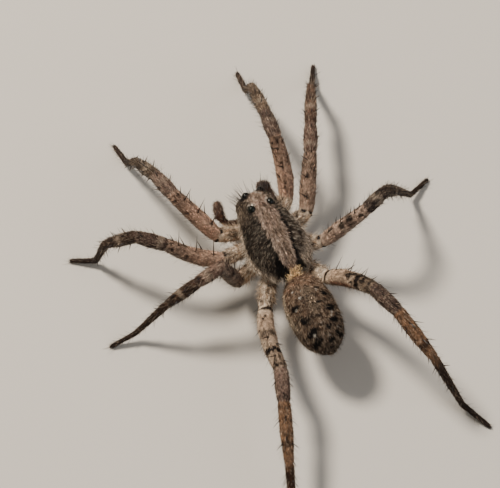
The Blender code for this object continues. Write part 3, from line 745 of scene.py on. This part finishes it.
def paintPalp(name, points, fine):
    if "left" in name:
        tipward = soft(inBody(points)[:, 1], 4.7, 5.2) * 0.25
    else:
        tipward = soft(points[:, 2], 3.2 * mm, 2.4 * mm)
    colour = mix(bodyTones["palp"] * 0.4, bodyTones["palp"], fine)
    colour = mix(colour, legLine, soft(cloud(points, 0.30 * mm, 33), 0.52, 0.66) * 0.8)
    return mix(colour, bodyTones["palpTip"], tipward * soft(fine, 0.1, 0.6))


def paint(points, nodeOf):
    # the markings' colours at places on the flesh, given the CAD node that each belongs to
    colours = np.zeros((len(points), 3))
    for index in np.unique(nodeOf):
        name = fleshNodes[index]
        here = nodeOf == index
        spot = points[here]
        fine = cloud(spot, 0.14 * mm, 31)
        if name == "carapace":
            colours[here] = paintCarapace(spot)
        elif name == "abdomen":
            colours[here] = paintAbdomen(spot)
        elif name.startswith("leg_"):
            colours[here] = paintLeg(name, spot)
        elif name.startswith("pedipalp"):
            colours[here] = paintPalp(name, spot, fine)
        elif name.startswith("chelicera"):
            colours[here] = mix(bodyTones["dark"] * 0.7, bodyTones["faceGrey"], soft(fine, 0.4, 0.9) * 0.6)
        elif name == "spinnerets":
            colours[here] = bodyTones["abdomen"] * 0.8
        else:
            colours[here] = mix(bodyTones["dark"] * 0.6, bodyTones["under"], fine)
    return colours


def setColours(mesh, colours):
    full = np.ones((len(colours), 4), dtype=np.float32)
    full[:, :3] = colours
    layer = mesh.attributes.new("markings", "FLOAT_COLOR", "POINT")
    layer.data.foreach_set("color", full.ravel())


underCoat = 0.8        # how bright the skin is beside the hairs over it
setColours(skin.data, paint(skinPoints, skinNode) * underCoat)
print("markings painted")


def newMaterial(name):
    material = bpy.data.materials.new(name)
    material.use_nodes = True
    return material, material.node_tree, material.node_tree.nodes["Principled BSDF"]


def addNode(tree, kind, settings=None, links=None):
    # a node with its settings, input values by name or number, and links into its inputs
    node = tree.nodes.new(kind)
    for key, value in (settings or {}).items():
        if key in node.inputs:
            node.inputs[key].default_value = value
        else:
            setattr(node, key, value)
    for key, source in (links or {}).items():
        tree.links.new(source, node.inputs[key])
    return node


# spider cuticle: thin tanned chitin, dark and half matt, mottled, and pitted where each hair stands
cuticleLook = dict(mottle=0.22, mottleDepth=0.06, pit=0.09, pitDepth=0.03)
cuticle, tree, shader = newMaterial("spider_cuticle")
place = addNode(tree, "ShaderNodeTexCoord").outputs["Object"]
marks = addNode(tree, "ShaderNodeAttribute", dict(attribute_name="markings")).outputs["Color"]
mottle = addNode(tree, "ShaderNodeTexNoise",
                 dict(Scale=1 / (cuticleLook["mottle"] * mm), Detail=4.0, Roughness=0.65),
                 dict(Vector=place))
shade = addNode(tree, "ShaderNodeMapRange",
                {"From Min": 0.3, "From Max": 0.7, "To Min": 0.62, "To Max": 1.3},
                dict(Value=mottle.outputs["Fac"]))
tinted = addNode(tree, "ShaderNodeVectorMath", dict(operation="SCALE"),
                 dict(Vector=marks, Scale=shade.outputs[0]))
tree.links.new(tinted.outputs["Vector"], shader.inputs["Base Color"])
pits = addNode(tree, "ShaderNodeTexVoronoi", dict(Scale=1 / (cuticleLook["pit"] * mm)), dict(Vector=place))
pitBump = addNode(tree, "ShaderNodeBump", dict(Strength=0.55, Distance=cuticleLook["pitDepth"] * mm),
                  dict(Height=pits.outputs["Distance"]))
mottleBump = addNode(tree, "ShaderNodeBump", dict(Strength=0.5, Distance=cuticleLook["mottleDepth"] * mm),
                     dict(Height=mottle.outputs["Fac"], Normal=pitBump.outputs["Normal"]))
tree.links.new(mottleBump.outputs["Normal"], shader.inputs["Normal"])
rough = addNode(tree, "ShaderNodeMapRange", {"To Min": 0.5, "To Max": 0.8},
                dict(Value=mottle.outputs["Fac"]))
tree.links.new(rough.outputs[0], shader.inputs["Roughness"])
shader.inputs["IOR"].default_value = 1.42
shader.inputs["Specular IOR Level"].default_value = 0.2
skin.data.materials.append(cuticle)

# setae: flattened hairs of chitin, matt from the side, a faint gloss along them
hairStuff, tree, shader = newMaterial("spider_setae")
marks = addNode(tree, "ShaderNodeAttribute", dict(attribute_name="markings")).outputs["Color"]
tree.links.new(marks, shader.inputs["Base Color"])
shader.inputs["Roughness"].default_value = 0.62
shader.inputs["IOR"].default_value = 1.38
shader.inputs["Specular IOR Level"].default_value = 0.3

# spines, claws and fangs: thick hard chitin, near black and glossy
hardChitin, tree, shader = newMaterial("hard_chitin")
place = addNode(tree, "ShaderNodeTexCoord").outputs["Object"]
grain = addNode(tree, "ShaderNodeTexNoise", dict(Scale=1 / (0.3 * mm), Detail=2.0), dict(Vector=place))
ramp = addNode(tree, "ShaderNodeMapRange", {"To Min": 0.25, "To Max": 0.45},
               dict(Value=grain.outputs["Fac"]))
tree.links.new(ramp.outputs[0], shader.inputs["Roughness"])
blend = addNode(tree, "ShaderNodeMix", dict(data_type="RGBA"), dict(Factor=grain.outputs["Fac"]))
blend.inputs["A"].default_value = (*tone("0d0705"), 1)
blend.inputs["B"].default_value = (*tone("2a1710"), 1)
tree.links.new(blend.outputs["Result"], shader.inputs["Base Color"])
shader.inputs["IOR"].default_value = 1.55

# eye lens: clear smooth cuticle over dark pigment, so it is black with a wet shine, with a faint green
# glint painted into it in patches
lens, tree, shader = newMaterial("eye_lens")
place = addNode(tree, "ShaderNodeTexCoord").outputs["Object"]
pigmentAndGlint = addNode(tree, "ShaderNodeTexNoise", dict(Scale=1 / (0.5 * mm), Detail=1.0), dict(Vector=place))
blend = addNode(tree, "ShaderNodeMix", dict(data_type="RGBA"), dict(Factor=pigmentAndGlint.outputs["Fac"]))
blend.inputs["A"].default_value = (*tone("050302"), 1)
# painted reflection: the dark green stands for the eyes' green glint
blend.inputs["B"].default_value = (*tone("0c120b"), 1)
tree.links.new(blend.outputs["Result"], shader.inputs["Base Color"])
shader.inputs["Roughness"].default_value = 0.08
shader.inputs["IOR"].default_value = 1.36


# the coat grows from the skin's triangles
skin.data.calc_loop_triangles()
triangles = np.empty(len(skin.data.loop_triangles) * 3, dtype=np.int64)
skin.data.loop_triangles.foreach_get("vertices", triangles)
triangles = triangles.reshape(-1, 3)
corners = skinPoints[triangles]
edgeOne, edgeTwo = corners[:, 1] - corners[:, 0], corners[:, 2] - corners[:, 0]
triangleArea = np.linalg.norm(np.cross(edgeOne, edgeTwo), axis=1) / 2
triangleNode = skinNode[triangles[:, 0]]
triangleMiddle = corners.mean(1)
# bare skin round the eyes: less of it round those with a radius over the limit
bareByEyes = dict(limit=0.3, large=0.035, small=0.09)


def scatter(nodes, density, weight=None):
    # random places on the skin over the named nodes: density per square millimetre
    wanted = np.isin(triangleNode, [fleshNodes.index(name) for name in nodes])
    share = triangleArea * wanted * density / (mm * mm)
    if weight is not None:
        share = share * weight(triangleMiddle)
    count = np.floor(share + dice.random(len(share))).astype(int)
    chosen = np.repeat(np.arange(len(share)), count)
    a, b = dice.random(len(chosen)), dice.random(len(chosen))
    swap = a + b > 1
    a[swap], b[swap] = 1 - a[swap], 1 - b[swap]
    weights = np.stack([1 - a - b, a, b], 1)[:, :, None]
    root = (skinPoints[triangles[chosen]] * weights).sum(1)
    normal = unit((skinNormals[triangles[chosen]] * weights).sum(1))
    clear = np.ones(len(root), bool)
    for centre, radius in zip(eyeCentres, eyeRadii):
        bare = bareByEyes["large" if radius > bareByEyes["limit"] * mm else "small"] * mm
        clear &= np.linalg.norm(root - centre, axis=1) > radius + bare
    return root[clear], normal[clear], triangleNode[chosen][clear]


def palpLie(name, spot):
    # ahead and out from its root, then ahead and down to its tip
    late = soft(inBody(spot)[:, 1], 3.0, 3.8)[:, None]
    outward = bodyAcross * (1 if "right" in name else -1)
    fromRoot = bodyAhead * 0.6 + outward
    toTip = bodyAhead * 0.7 - bodyUp * 0.8 - outward * 0.2
    return (1 - late) * fromRoot + late * toTip


def carapaceLie(spot):
    # back along the band, out and back from it on the flanks, down the face
    x, y, _ = inBody(spot).T
    half = bandHalf(x, y)
    turn = np.radians(np.interp(y, (-4.0, -2.5, -0.5, 1.5, 2.5), (80, 55, 24, 12, 60)))
    inBand = soft(np.abs(x), half + 0.05, half - 0.15)
    outward = np.cos(turn) * np.sign(x) * (1 - inBand) + inBand * x * 0.35
    backward = -np.sin(turn) * (1 - inBand) - inBand
    lie = outward[:, None] * bodyAcross + backward[:, None] * bodyAhead
    face = soft(y, 3.3, 3.6)[:, None]
    return lie * (1 - face) - bodyUp * face


def lieOf(root, nodeOf):
    # the way the hairs point: out from the middle of the body and along each limb
    lie = np.zeros_like(root)
    for index in np.unique(nodeOf):
        name = fleshNodes[index]
        here = nodeOf == index
        spot = root[here]
        if name == "carapace":
            lie[here] = carapaceLie(spot)
        elif name in ("abdomen", "pedicel"):
            x, _, z = inAbdomen(spot).T
            lie[here] = -abdomenAhead + (x * 0.12)[:, None] * abdomenAcross - (z * 0.05)[:, None] * bodyUp
        elif name == "spinnerets":
            lie[here] = -abdomenAhead
        elif name == "sternum":
            lie[here] = (np.sign(inBody(spot)[:, 0]) * 0.5)[:, None] * bodyAcross - bodyAhead
        elif name.startswith("chelicera"):
            lie[here] = -bodyUp
        elif name.startswith("pedipalp"):
            lie[here] = palpLie(name, spot)
        elif name.endswith("foot"):
            _, number, side, _ = name.split("_")
            ankle, bend, tip = legs[number, side][4:]
            onFirst = alongLimb(spot, ankle, bend, side)[0] < 1
            lie[here] = np.where(onFirst[:, None], unit(bend - ankle), unit(tip - bend))
        else:
            _, number, side, piece = name.split("_")
            start, end = limbPoints(number, side, piece)
            lie[here] = unit(end - start)
    return lie


# every hair: how deep its root is sunk, how far it keeps off the floor, its thickness beside its width,
# its brightness at the root, gained along it and at the tip, and its patch on the unwrapped skin
hairForm = dict(sunk=0.02, overFloor=0.01, thickness=0.8, rootLight=0.75, gain=0.35, tipLight=1.15,
                patch=0.003)


def growHairs(name, root, normal, lie, look, colour, patch, material=None):
    # closed spikes, three-sided unless look says otherwise, that rise at a slant and bend back to the skin
    count = len(root)
    sides, rings = look.get("sides", 3), look.get("rings", 2)
    spread = np.radians(look["spread"]) * dice.normal(size=count)
    side = unit(np.cross(normal, lie))
    flat = unit(np.cross(side, normal))
    lie = flat * np.cos(spread)[:, None] + side * np.sin(spread)[:, None]
    side = np.cross(normal, lie)
    low, high = look["length"]
    length = (low + (high - low) * dice.random(count)) * mm
    if "scale" in look:
        length = length * look["scale"](root)
    rise = np.radians(look["rise"][0] + (look["rise"][1] - look["rise"][0]) * dice.random(count))
    width = look["width"] * mm * (0.75 + 0.5 * dice.random(count))
    turns = [2 * math.pi * k / sides + math.pi / 2 for k in range(sides)]
    levels = []
    for ring in range(rings + 1):
        share = ring / rings
        centre = root - normal * hairForm["sunk"] * mm + lie * (length * share * np.cos(rise))[:, None] \
            + normal * (length * (share * np.sin(rise) - look["curl"] * share ** 2))[:, None]
        if ring == rings:
            levels.append(centre[:, None])
            continue
        wide = width * (1 - share) ** look.get("taper", 0.6)
        thick = wide * hairForm["thickness"]
        levels.append(np.stack([centre + side * (math.cos(turn) * wide)[:, None]
                                + normal * (math.sin(turn) * thick)[:, None] for turn in turns], 1))
    points = np.concatenate(levels, 1)
    points[:, :, 2] = np.maximum(points[:, :, 2], hairForm["overFloor"] * mm)
    each = points.shape[1]
    # faces of one hair, pointing outwards: root, rings, then the tip
    faces = [list(range(sides))]
    for below in range(0, (rings - 1) * sides, sides):
        faces += [[below + sides + k, below + sides + (k + 1) % sides, below + (k + 1) % sides, below + k]
                  for k in range(sides)]
    last = (rings - 1) * sides
    faces += [[each - 1, last + (k + 1) % sides, last + k] for k in range(sides)]
    pattern = np.array(sum(faces, []))
    loops = (np.arange(count)[:, None] * each + pattern[None]).ravel()
    totals = np.tile([len(face) for face in faces], count)
    mesh = bpy.data.meshes.new(name)
    mesh.vertices.add(count * each)
    mesh.vertices.foreach_set("co", points.ravel())
    mesh.loops.add(len(loops))
    mesh.loops.foreach_set("vertex_index", loops)
    mesh.polygons.add(len(totals))
    mesh.polygons.foreach_set("loop_start", np.concatenate([[0], np.cumsum(totals)[:-1]]))
    mesh.polygons.foreach_set("loop_total", totals)
    mesh.polygons.foreach_set("use_smooth", np.ones(len(totals), bool))
    # each hair has a small patch at its root on the unwrapped skin
    within = np.array([[(k % sides) / (sides - 1) - 0.5, (k // sides) / rings - 0.5] for k in range(each)])
    uv = (patch[:, None] + within[None] * hairForm["patch"])[:, pattern].reshape(-1, 2)
    mesh.uv_layers.new(name="OFBake").data.foreach_set("uv", np.clip(uv, 0, 1).ravel())
    mesh.update()
    light = [hairForm["rootLight"] + hairForm["gain"] * (k // sides) / rings for k in range(each - 1)]
    light = np.array(light + [hairForm["tipLight"]])
    setColours(mesh, (colour[:, None] * light[None, :, None]).reshape(-1, 3))
    mesh.materials.append(material or hairStuff)
    piece = bpy.data.objects.new(name, mesh)
    bpy.context.scene.collection.objects.link(piece)
    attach(piece, "root")
    print(f"{name}: {count} hairs, {int((totals - 2).sum())} triangles")


def unwrap(points, nodeOf):
    # the skin laid flat, one row for each node present: along it and round it
    rows = list(np.unique(nodeOf))
    flat = np.zeros((len(points), 2))
    for row, index in enumerate(rows):
        here = nodeOf == index
        name = fleshNodes[index]
        spot = points[here]
        if name.startswith("leg_"):
            _, number, side, piece = name.split("_")
            start, end = limbPoints(number, side, piece)
            if piece == "foot":
                end = legs[number, side][-1]
            share, angle = alongLimb(spot, start, end, side)
        else:
            low, high = (np.array(corner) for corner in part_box(name))
            local = (spot - (low + high) / 2) @ (abdomenAxes if name == "abdomen" else bodyAxes).T
            share = local[:, 1] / np.linalg.norm(high - low) + 0.5
            angle = np.degrees(np.arctan2(local[:, 0], local[:, 2]))
        flat[here, 0] = 0.02 + 0.96 * np.clip(share, 0, 1)
        flat[here, 1] = (row + 0.04 + 0.92 * (angle / 360 + 0.5)) / len(rows)
    return flat


def hairTones(root, nodeOf, lightSpread, paleShare=0.0, darkShare=0.0):
    # the markings' colours, each hair lighter or darker, and shares of them cream or near black
    colour = paint(root, nodeOf)
    black = colour.mean(1) < 0.010      # hairs on the black marks never turn cream
    light = np.exp(lightSpread * dice.normal(size=len(root)) - lightSpread ** 2 / 3)
    colour = colour * light[:, None]
    pick = dice.random(len(root))
    colour = mix(colour, cream, (pick < paleShare) * ~black * 0.55)
    return mix(colour, legLine, (pick > 1 - darkShare) * 0.75)


def coat(name, nodes, look, weight=None, paleShare=0.0, darkShare=0.0):
    root, normal, nodeOf = scatter(nodes, look["density"], weight)
    colour = hairTones(root, nodeOf, look.get("light", 0.28), paleShare, darkShare)
    growHairs(name, root, normal, lieOf(root, nodeOf), look, colour, unwrap(root, nodeOf))


# In each look: density per square millimetre, and ranges of length and of degrees of rise.
thin = 1.0
carapaceCoat = dict(density=205 * thin, length=(0.22, 0.42), width=0.020, rise=(8, 34), curl=0.16,
                    spread=17, light=0.75)
abdomenCoat = dict(density=170 * thin, length=(0.2, 0.36), width=0.020, rise=(14, 44), curl=0.18,
                   spread=24, light=0.75)
legCoat = dict(density=110 * thin, length=(0.2, 0.36), width=0.019, rise=(10, 38), curl=0.14,
               spread=16, light=0.65)
headCoat = dict(density=95 * thin, length=(0.25, 0.55), width=0.020, rise=(15, 52), curl=0.12,
                spread=22, light=0.6)


def smallerOnHead(points):
    return 1 - 0.45 * soft(inBody(points)[:, 1], 1.5, 3.0)


def offShadowWedges(points):
    # few hairs on the painted shadow of the black wedges, so the black skin shows there
    return 1 - 0.9 * shadowWedges(points)


def shortOnMarks(points):
    return 1 - 0.55 * paleMarks(points)


def fromCollar(points):
    # distance in mm to the nearest joint of a thigh with its hip
    away = [np.linalg.norm(points - joints[1], axis=1) for joints in legs.values()]
    return np.min(away, axis=0) / mm


def shortAtHips(points):
    return 1 - 0.5 * soft(fromCollar(points), 1.0, 0.7)


def offCollar(points):
    return soft(fromCollar(points), 0.80, 1.0)


coat("coat_carapace", ["carapace"], dict(carapaceCoat, scale=smallerOnHead), offShadowWedges,
     paleShare=0.12, darkShare=0.14)
coat("coat_abdomen", ["abdomen", "spinnerets", "pedicel"], dict(abdomenCoat, scale=shortOnMarks),
     paleShare=0.11, darkShare=0.20)
for number, side in legs:
    nodes = [f"leg_{number}_{side}_{piece}" for piece in legPieces]
    coat(f"coat_leg_{number}_{side}", nodes, dict(legCoat, scale=shortAtHips),
         paleShare=0.09, darkShare=0.12)
palpsAndJaws = ["pedipalp_left", "pedipalp_right", "chelicera_left", "chelicera_right", "sternum"]
coat("coat_palps_and_jaws", palpsAndJaws, headCoat, paleShare=0.08, darkShare=0.3)


def shaggyHairs(name, nodes, look, weight):
    # pale hairs, tanned by chance, and a share of them dark
    root, normal, nodeOf = scatter(nodes, look["density"], weight)
    pick = dice.random(len(root))
    colour = np.tile(bodyTones["marginPale"], (len(root), 1))
    if "tan" in look:
        colour = mix(colour, bodyTones["hipTan"], dice.random(len(root)) * look["tan"])
    colour = mix(colour, bodyTones["dark"], (pick < look["darkShare"]) * look["dark"])
    light = np.exp(look["light"] * dice.normal(size=(len(root), 1)))
    growHairs(name, root, normal, lieOf(root, nodeOf), look, colour * light, unwrap(root, nodeOf))


def alongRim(points):
    _, y, z = inBody(points).T
    return soft(z, 0.45, 0.1) * soft(z, -0.5, -0.2) * soft(y, 3.0, 2.4)


# pale shaggy hairs on the roots of the legs and along the rim of the carapace
rootHairs = dict(density=42 * thin, length=(0.4, 0.95), width=0.018, rise=(20, 60), curl=0.20, spread=42,
                 rings=3, tan=0.9, dark=0.9, darkShare=0.28, light=0.4)
rimHairs = dict(density=50 * thin, length=(0.45, 0.9), width=0.018, rise=(10, 45), curl=0.12, spread=25,
                rings=3, dark=0.8, darkShare=0.25, light=0.3)
shaggyHairs("coat_leg_roots", [name for name in fleshNodes if name.endswith("coxa")], rootHairs, offCollar)
shaggyHairs("coat_rim", ["carapace"], rimHairs, alongRim)

# longer, thinner hairs that stand out from the short coat
longHairs = dict(density=7 * thin, length=(0.6, 1.05), width=0.016, rise=(30, 62), curl=0.10, spread=18,
                 rings=3, light=0.25)
coat("long_hairs_legs", [name for name in fleshNodes if name.startswith("leg_")], longHairs,
     darkShare=0.6, paleShare=0.25)
fringe = dict(density=26 * thin, length=(0.35, 0.62), width=0.014, rise=(35, 66), curl=0.08, spread=24,
              rings=3)
coat("long_hairs_abdomen", ["abdomen"], fringe, darkShare=0.45, paleShare=0.3)
browHairs = dict(density=11, length=(0.35, 0.7), width=0.014, rise=(45, 72), curl=0.05, spread=30, rings=3)
coat("long_hairs_carapace", ["carapace"], browHairs, darkShare=0.7)
print("coat grown")


# spines of the legs: how far they stray in degrees round the leg, and along it as a share of the piece
spineLook = dict(width=0.062, curl=0.03, longer=1.15, stray=4, shift=0.012, along=0.6)
# how far the upper ones on the thighs lean to the front
spineLean = {"I": 1.0, "II": 1.0, "III": 0.3, "IV": 0.7}


def spineShare(number, side, piece, place):
    # a spine's length beside the full one
    if (number, side, piece) == ("IV", "left", "femur") and place < 0.32:
        return 0.4
    if number == "III":
        return 0.7
    return 0.6 if side == "right" and number in ("I", "II") else 1.0


def growSpines(name, roots, normals, lies, lengths, rises, width, curl):
    # each spine keeps its own length and rise
    tilt = np.radians(rises)
    aim = unit(lies) * np.cos(tilt)[:, None] + normals * np.sin(tilt)[:, None]
    back = -unit(np.cross(np.cross(lies, normals), aim))
    back = np.where((back * normals).sum(1)[:, None] > 0, back, -back)
    look = dict(length=(1.0, 1.0), width=width, rise=(0, 0), curl=curl, spread=4, sides=5, rings=4,
                taper=0.75, scale=lambda points: lengths)
    colour = np.tile(legLine, (len(roots), 1))
    growHairs(name, roots, back, aim, look, colour, unwrap(roots, nodesOf(roots)), hardChitin)


skinTree = BVHTree.FromObject(skin, bpy.context.evaluated_depsgraph_get())
roots, normals, lies, lengths, rises = [], [], [], [], []
everySpine = [(piece, place, around, length, rise) for piece, rows in legSpines.items()
              for place, places, length, rise in rows for around in places]
for number, side in legs:
    for piece, place, around, length, rise in everySpine:
        start, end = limbPoints(number, side, piece)
        axis, up, rear = limbAxes(start, end, side)
        turn = math.radians(around + dice.normal() * spineLook["stray"])
        outward = up * math.cos(turn) + rear * math.sin(turn)
        place = place + dice.normal() * spineLook["shift"]
        centre = start + (end - start) * place
        if piece == "femur":
            centre = centre + bows[number, side] * bowAt(place)
        found = skinTree.ray_cast(Vector(centre), Vector(outward), 2 * mm)
        if found[0] is None:
            continue
        roots.append(np.array(found[0]))
        normals.append(outward)
        lean = spineLean[number] if piece == "femur" and abs(around) < 40 else 0.0
        lies.append(axis * spineLook["along"] - rear * lean)
        lengths.append(length * spineShare(number, side, piece, place) * spineLook["longer"])
        rises.append(rise)
growSpines("leg_spines", np.array(roots), np.array(normals), np.array(lies), np.array(lengths),
           np.array(rises), spineLook["width"], spineLook["curl"])

# bristles round the eyes and on the front edge of the head, rising forward
faceBristles = dict(density=14, length=(0.95, 1.9), width=0.023, curl=0.02, rise=10, outward=0.35, up=0.35,
                    stray=0.18)


def brow(points):
    x, y, z = inBody(points).T
    return soft(y, 2.5, 3.2) * soft(z, 0.2, 0.9) * (0.4 + 0.6 * soft(np.abs(x), 0.2, 0.6))


roots, normals, _ = scatter(["carapace"], faceBristles["density"], brow)
lies = bodyAhead + bodyAcross * (inBody(roots)[:, :1] * faceBristles["outward"])
lies = lies + bodyUp * faceBristles["up"]
shortest, longest = faceBristles["length"]
lengths = shortest + (longest - shortest) * dice.random(len(roots)) ** 1.5      # more of the shorter ones
lies = lies + dice.normal(size=lies.shape) * faceBristles["stray"]
growSpines("face_bristles", roots, normals, lies, lengths, np.full(len(roots), faceBristles["rise"]),
           faceBristles["width"], faceBristles["curl"])

# a tuft of gold hairs over the waist, from the front of the abdomen and the tail of the band
goldTuft = dict(density=300 * thin, length=(0.3, 0.72), width=0.017, rise=(15, 70), curl=0.03, spread=32,
                light=0.45, lighter=0.15, dark=0.9, darkShare=0.3)


def nearFront(points):
    x, y, z = inAbdomen(points).T
    return soft(-y, 0.62, 0.35) * soft(z, 0.35, 0.7) * soft(np.abs(x + 0.02), 0.62, 0.3)


def tailOfBand(points):
    x, y, z = inBody(points).T
    return soft(y, -4.05, -4.25) * soft(np.abs(x - 0.28), 0.5, 0.25) * soft(z, 0.1, 0.4)


tufts = [scatter([name], goldTuft["density"], place)
         for name, place in (("abdomen", nearFront), ("carapace", tailOfBand))]
root, normal, nodeOf = (np.concatenate(parts) for parts in zip(*tufts))
isDark = dice.random(len(root)) < goldTuft["darkShare"]
colour = mix(np.tile(bodyTones["gold"], (len(root), 1)), bodyTones["dark"], isDark * goldTuft["dark"])
colour = colour * np.exp(goldTuft["lighter"] + goldTuft["light"] * dice.normal(size=(len(root), 1)))
lie = bodyAhead * 0.6 + bodyUp * 0.6 + bodyAcross * (inBody(root)[:, :1] * 0.9 - 0.1)
growHairs("gold_tuft", root, normal, lie, goldTuft, colour, unwrap(root, nodeOf))
print("spines and tufts set")

# eyes: the domes of the lenses, which the skin holds by their rims
eyeLook = dict(segments=28, rings=18)
for name, centre, radius in zip(eyeNames, eyeCentres, eyeRadii):
    bpy.ops.mesh.primitive_uv_sphere_add(segments=eyeLook["segments"], ring_count=eyeLook["rings"],
                                         radius=radius, location=centre)
    eye = bpy.context.active_object
    bpy.ops.object.transform_apply(location=True, rotation=True, scale=True)
    bpy.ops.object.shade_smooth()
    eye.name = name.replace("eye_", "lens_")
    eye.data.materials.append(lens)
    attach(eye, "root")
    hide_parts(name)

# fangs: curved needles that point down and bend to the rear
fangLook = dict(radius=0.2, sides=14, steps=9, reach=0.125, bend=5.5, shrink=0.86, fromFront=0.25,
                fromTop=0.12)
for name in fangNodes:
    low, high = (np.array(corner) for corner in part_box(name))
    top = np.array([(low[0] + high[0]) / 2, high[1] - fangLook["fromFront"] * mm,
                    high[2] - fangLook["fromTop"] * mm])
    bpy.ops.mesh.primitive_circle_add(vertices=fangLook["sides"], radius=fangLook["radius"] * mm,
                                      fill_type="NGON", location=top)
    fang = bpy.context.active_object
    fang.name = name.replace("fang", "fang_needle")
    bpy.ops.object.mode_set(mode="EDIT")
    bpy.ops.mesh.select_all(action="SELECT")
    here = Vector(top)
    aim = Vector((0, -0.25, -1)).normalized()
    turn = Matrix.Rotation(-math.radians(fangLook["bend"]), 3, "X")
    for step in range(fangLook["steps"]):
        bpy.ops.mesh.extrude_region_move(TRANSFORM_OT_translate={"value": aim * fangLook["reach"] * mm})
        here = here + aim * fangLook["reach"] * mm
        bpy.ops.transform.resize(value=(fangLook["shrink"],) * 3, center_override=here)
        aim = turn @ aim
    bpy.ops.mesh.merge(type="CENTER")
    bpy.ops.mesh.select_all(action="SELECT")
    bpy.ops.mesh.normals_make_consistent(inside=False)
    bpy.ops.object.mode_set(mode="OBJECT")
    bpy.ops.object.transform_apply(location=True, rotation=True, scale=True)
    bpy.ops.object.shade_smooth()
    fang.data.materials.append(hardChitin)
    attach(fang, "root")
    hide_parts(name)

# tarsal claws: two curved hooks at the tip of each foot
clawLook = dict(inset=0.10, apart=0.07, up=0.02, splay=0.25, length=0.34, rise=18, width=0.035, curl=0.45)
roots, normals, lies = [], [], []
for joints in legs.values():
    bend, tip = joints[5:]
    axis = unit(tip - bend)
    across = unit(np.cross(axis, np.array([0, 0, 1.0])))
    for flip in (-1, 1):
        offset = across * flip * clawLook["apart"] - axis * clawLook["inset"]
        roots.append(tip + (offset + np.array([0, 0, clawLook["up"]])) * mm)
        normals.append(unit(np.cross(across, axis)))
        lies.append(axis + across * flip * clawLook["splay"])
growSpines("tarsal_claws", np.array(roots), np.array(normals), np.array(lies),
           np.full(len(roots), clawLook["length"]), np.full(len(roots), clawLook["rise"]),
           clawLook["width"], clawLook["curl"])
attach(skin, "root")
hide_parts(*fleshNodes)
print("eyes, fangs and claws set")


floorLook = dict(size=800, tone="cfc8bd")
bpy.ops.mesh.primitive_plane_add(size=floorLook["size"] * mm, location=(0, 0, 0))
floor = bpy.context.active_object
floor.name = "floor"
floorPaint, tree, shader = newMaterial("plain_floor")       # matt paint on a studio table
shader.inputs["Base Color"].default_value = (*tone(floorLook["tone"]), 1)
shader.inputs["Roughness"].default_value = 0.85
floor.data.materials.append(floorPaint)
floor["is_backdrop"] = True

# camera: turned from straight ahead and above the horizon, aimed beside the body's centre
viewLook = dict(turn=-27, height=66, distance=190, lens=157, sensor=36, aimDown=0.7, slide=(1.70, 0.62))
turn, height = math.radians(viewLook["turn"]), math.radians(viewLook["height"])
level = np.array([-math.sin(turn), math.cos(turn), 0])       # away from the camera, along the floor
forward = level * math.cos(height) - np.array([0, 0, math.sin(height)])
rightward = np.array([math.cos(turn), math.sin(turn), 0])
upward = np.cross(rightward, forward)
target = bodyCentre - np.array([0, 0, viewLook["aimDown"] * mm])
stand = target - forward * viewLook["distance"] * mm
aim = target - (rightward * viewLook["slide"][0] + upward * viewLook["slide"][1]) * mm
cameraData = bpy.data.cameras.new("camera")
camera = bpy.data.objects.new("camera", cameraData)
bpy.context.scene.collection.objects.link(camera)
cameraData.lens = viewLook["lens"]
cameraData.sensor_width = viewLook["sensor"]
cameraData.clip_start = 0.005
cameraData.clip_end = 10
camera.location = stand
sight = unit(aim - stand)
sideways = unit(np.cross(sight, upward))
camera.rotation_euler = Matrix(np.array([sideways, np.cross(sideways, sight), -sight]).T).to_euler()
bpy.context.scene.camera = camera

# place: right of the object as the camera sees it, beyond it, and up
lightLooks = dict(key=dict(place=(-240, 200, 420), size=110, power=4.2, warmth="fff6ea"),
                  fill=dict(place=(400, -150, 350), size=400, power=0.8, warmth="eef3ff"))
worldLook = dict(tone="f2efe9", strength=0.31)


def areaLight(name, look):
    side, ahead, rise = (distance * mm for distance in look["place"])
    place = Vector(rightward * side + level * ahead + np.array([0, 0, rise]))
    data = bpy.data.lights.new(name, "AREA")
    data.shape = "DISK"
    data.size = look["size"] * mm
    data.energy = look["power"]
    data.color = tuple(tone(look["warmth"]))
    light = bpy.data.objects.new(name, data)
    light.location = place
    light.rotation_euler = (-place).to_track_quat("-Z", "Y").to_euler()
    bpy.context.scene.collection.objects.link(light)


for name, look in lightLooks.items():
    areaLight(name, look)
world = bpy.data.worlds.new("studio")
world.use_nodes = True
background = world.node_tree.nodes["Background"]
background.inputs["Color"].default_value = (*tone(worldLook["tone"]), 1)
background.inputs["Strength"].default_value = worldLook["strength"]
bpy.context.scene.world = world
print("floor, lights and camera set")

low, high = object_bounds()
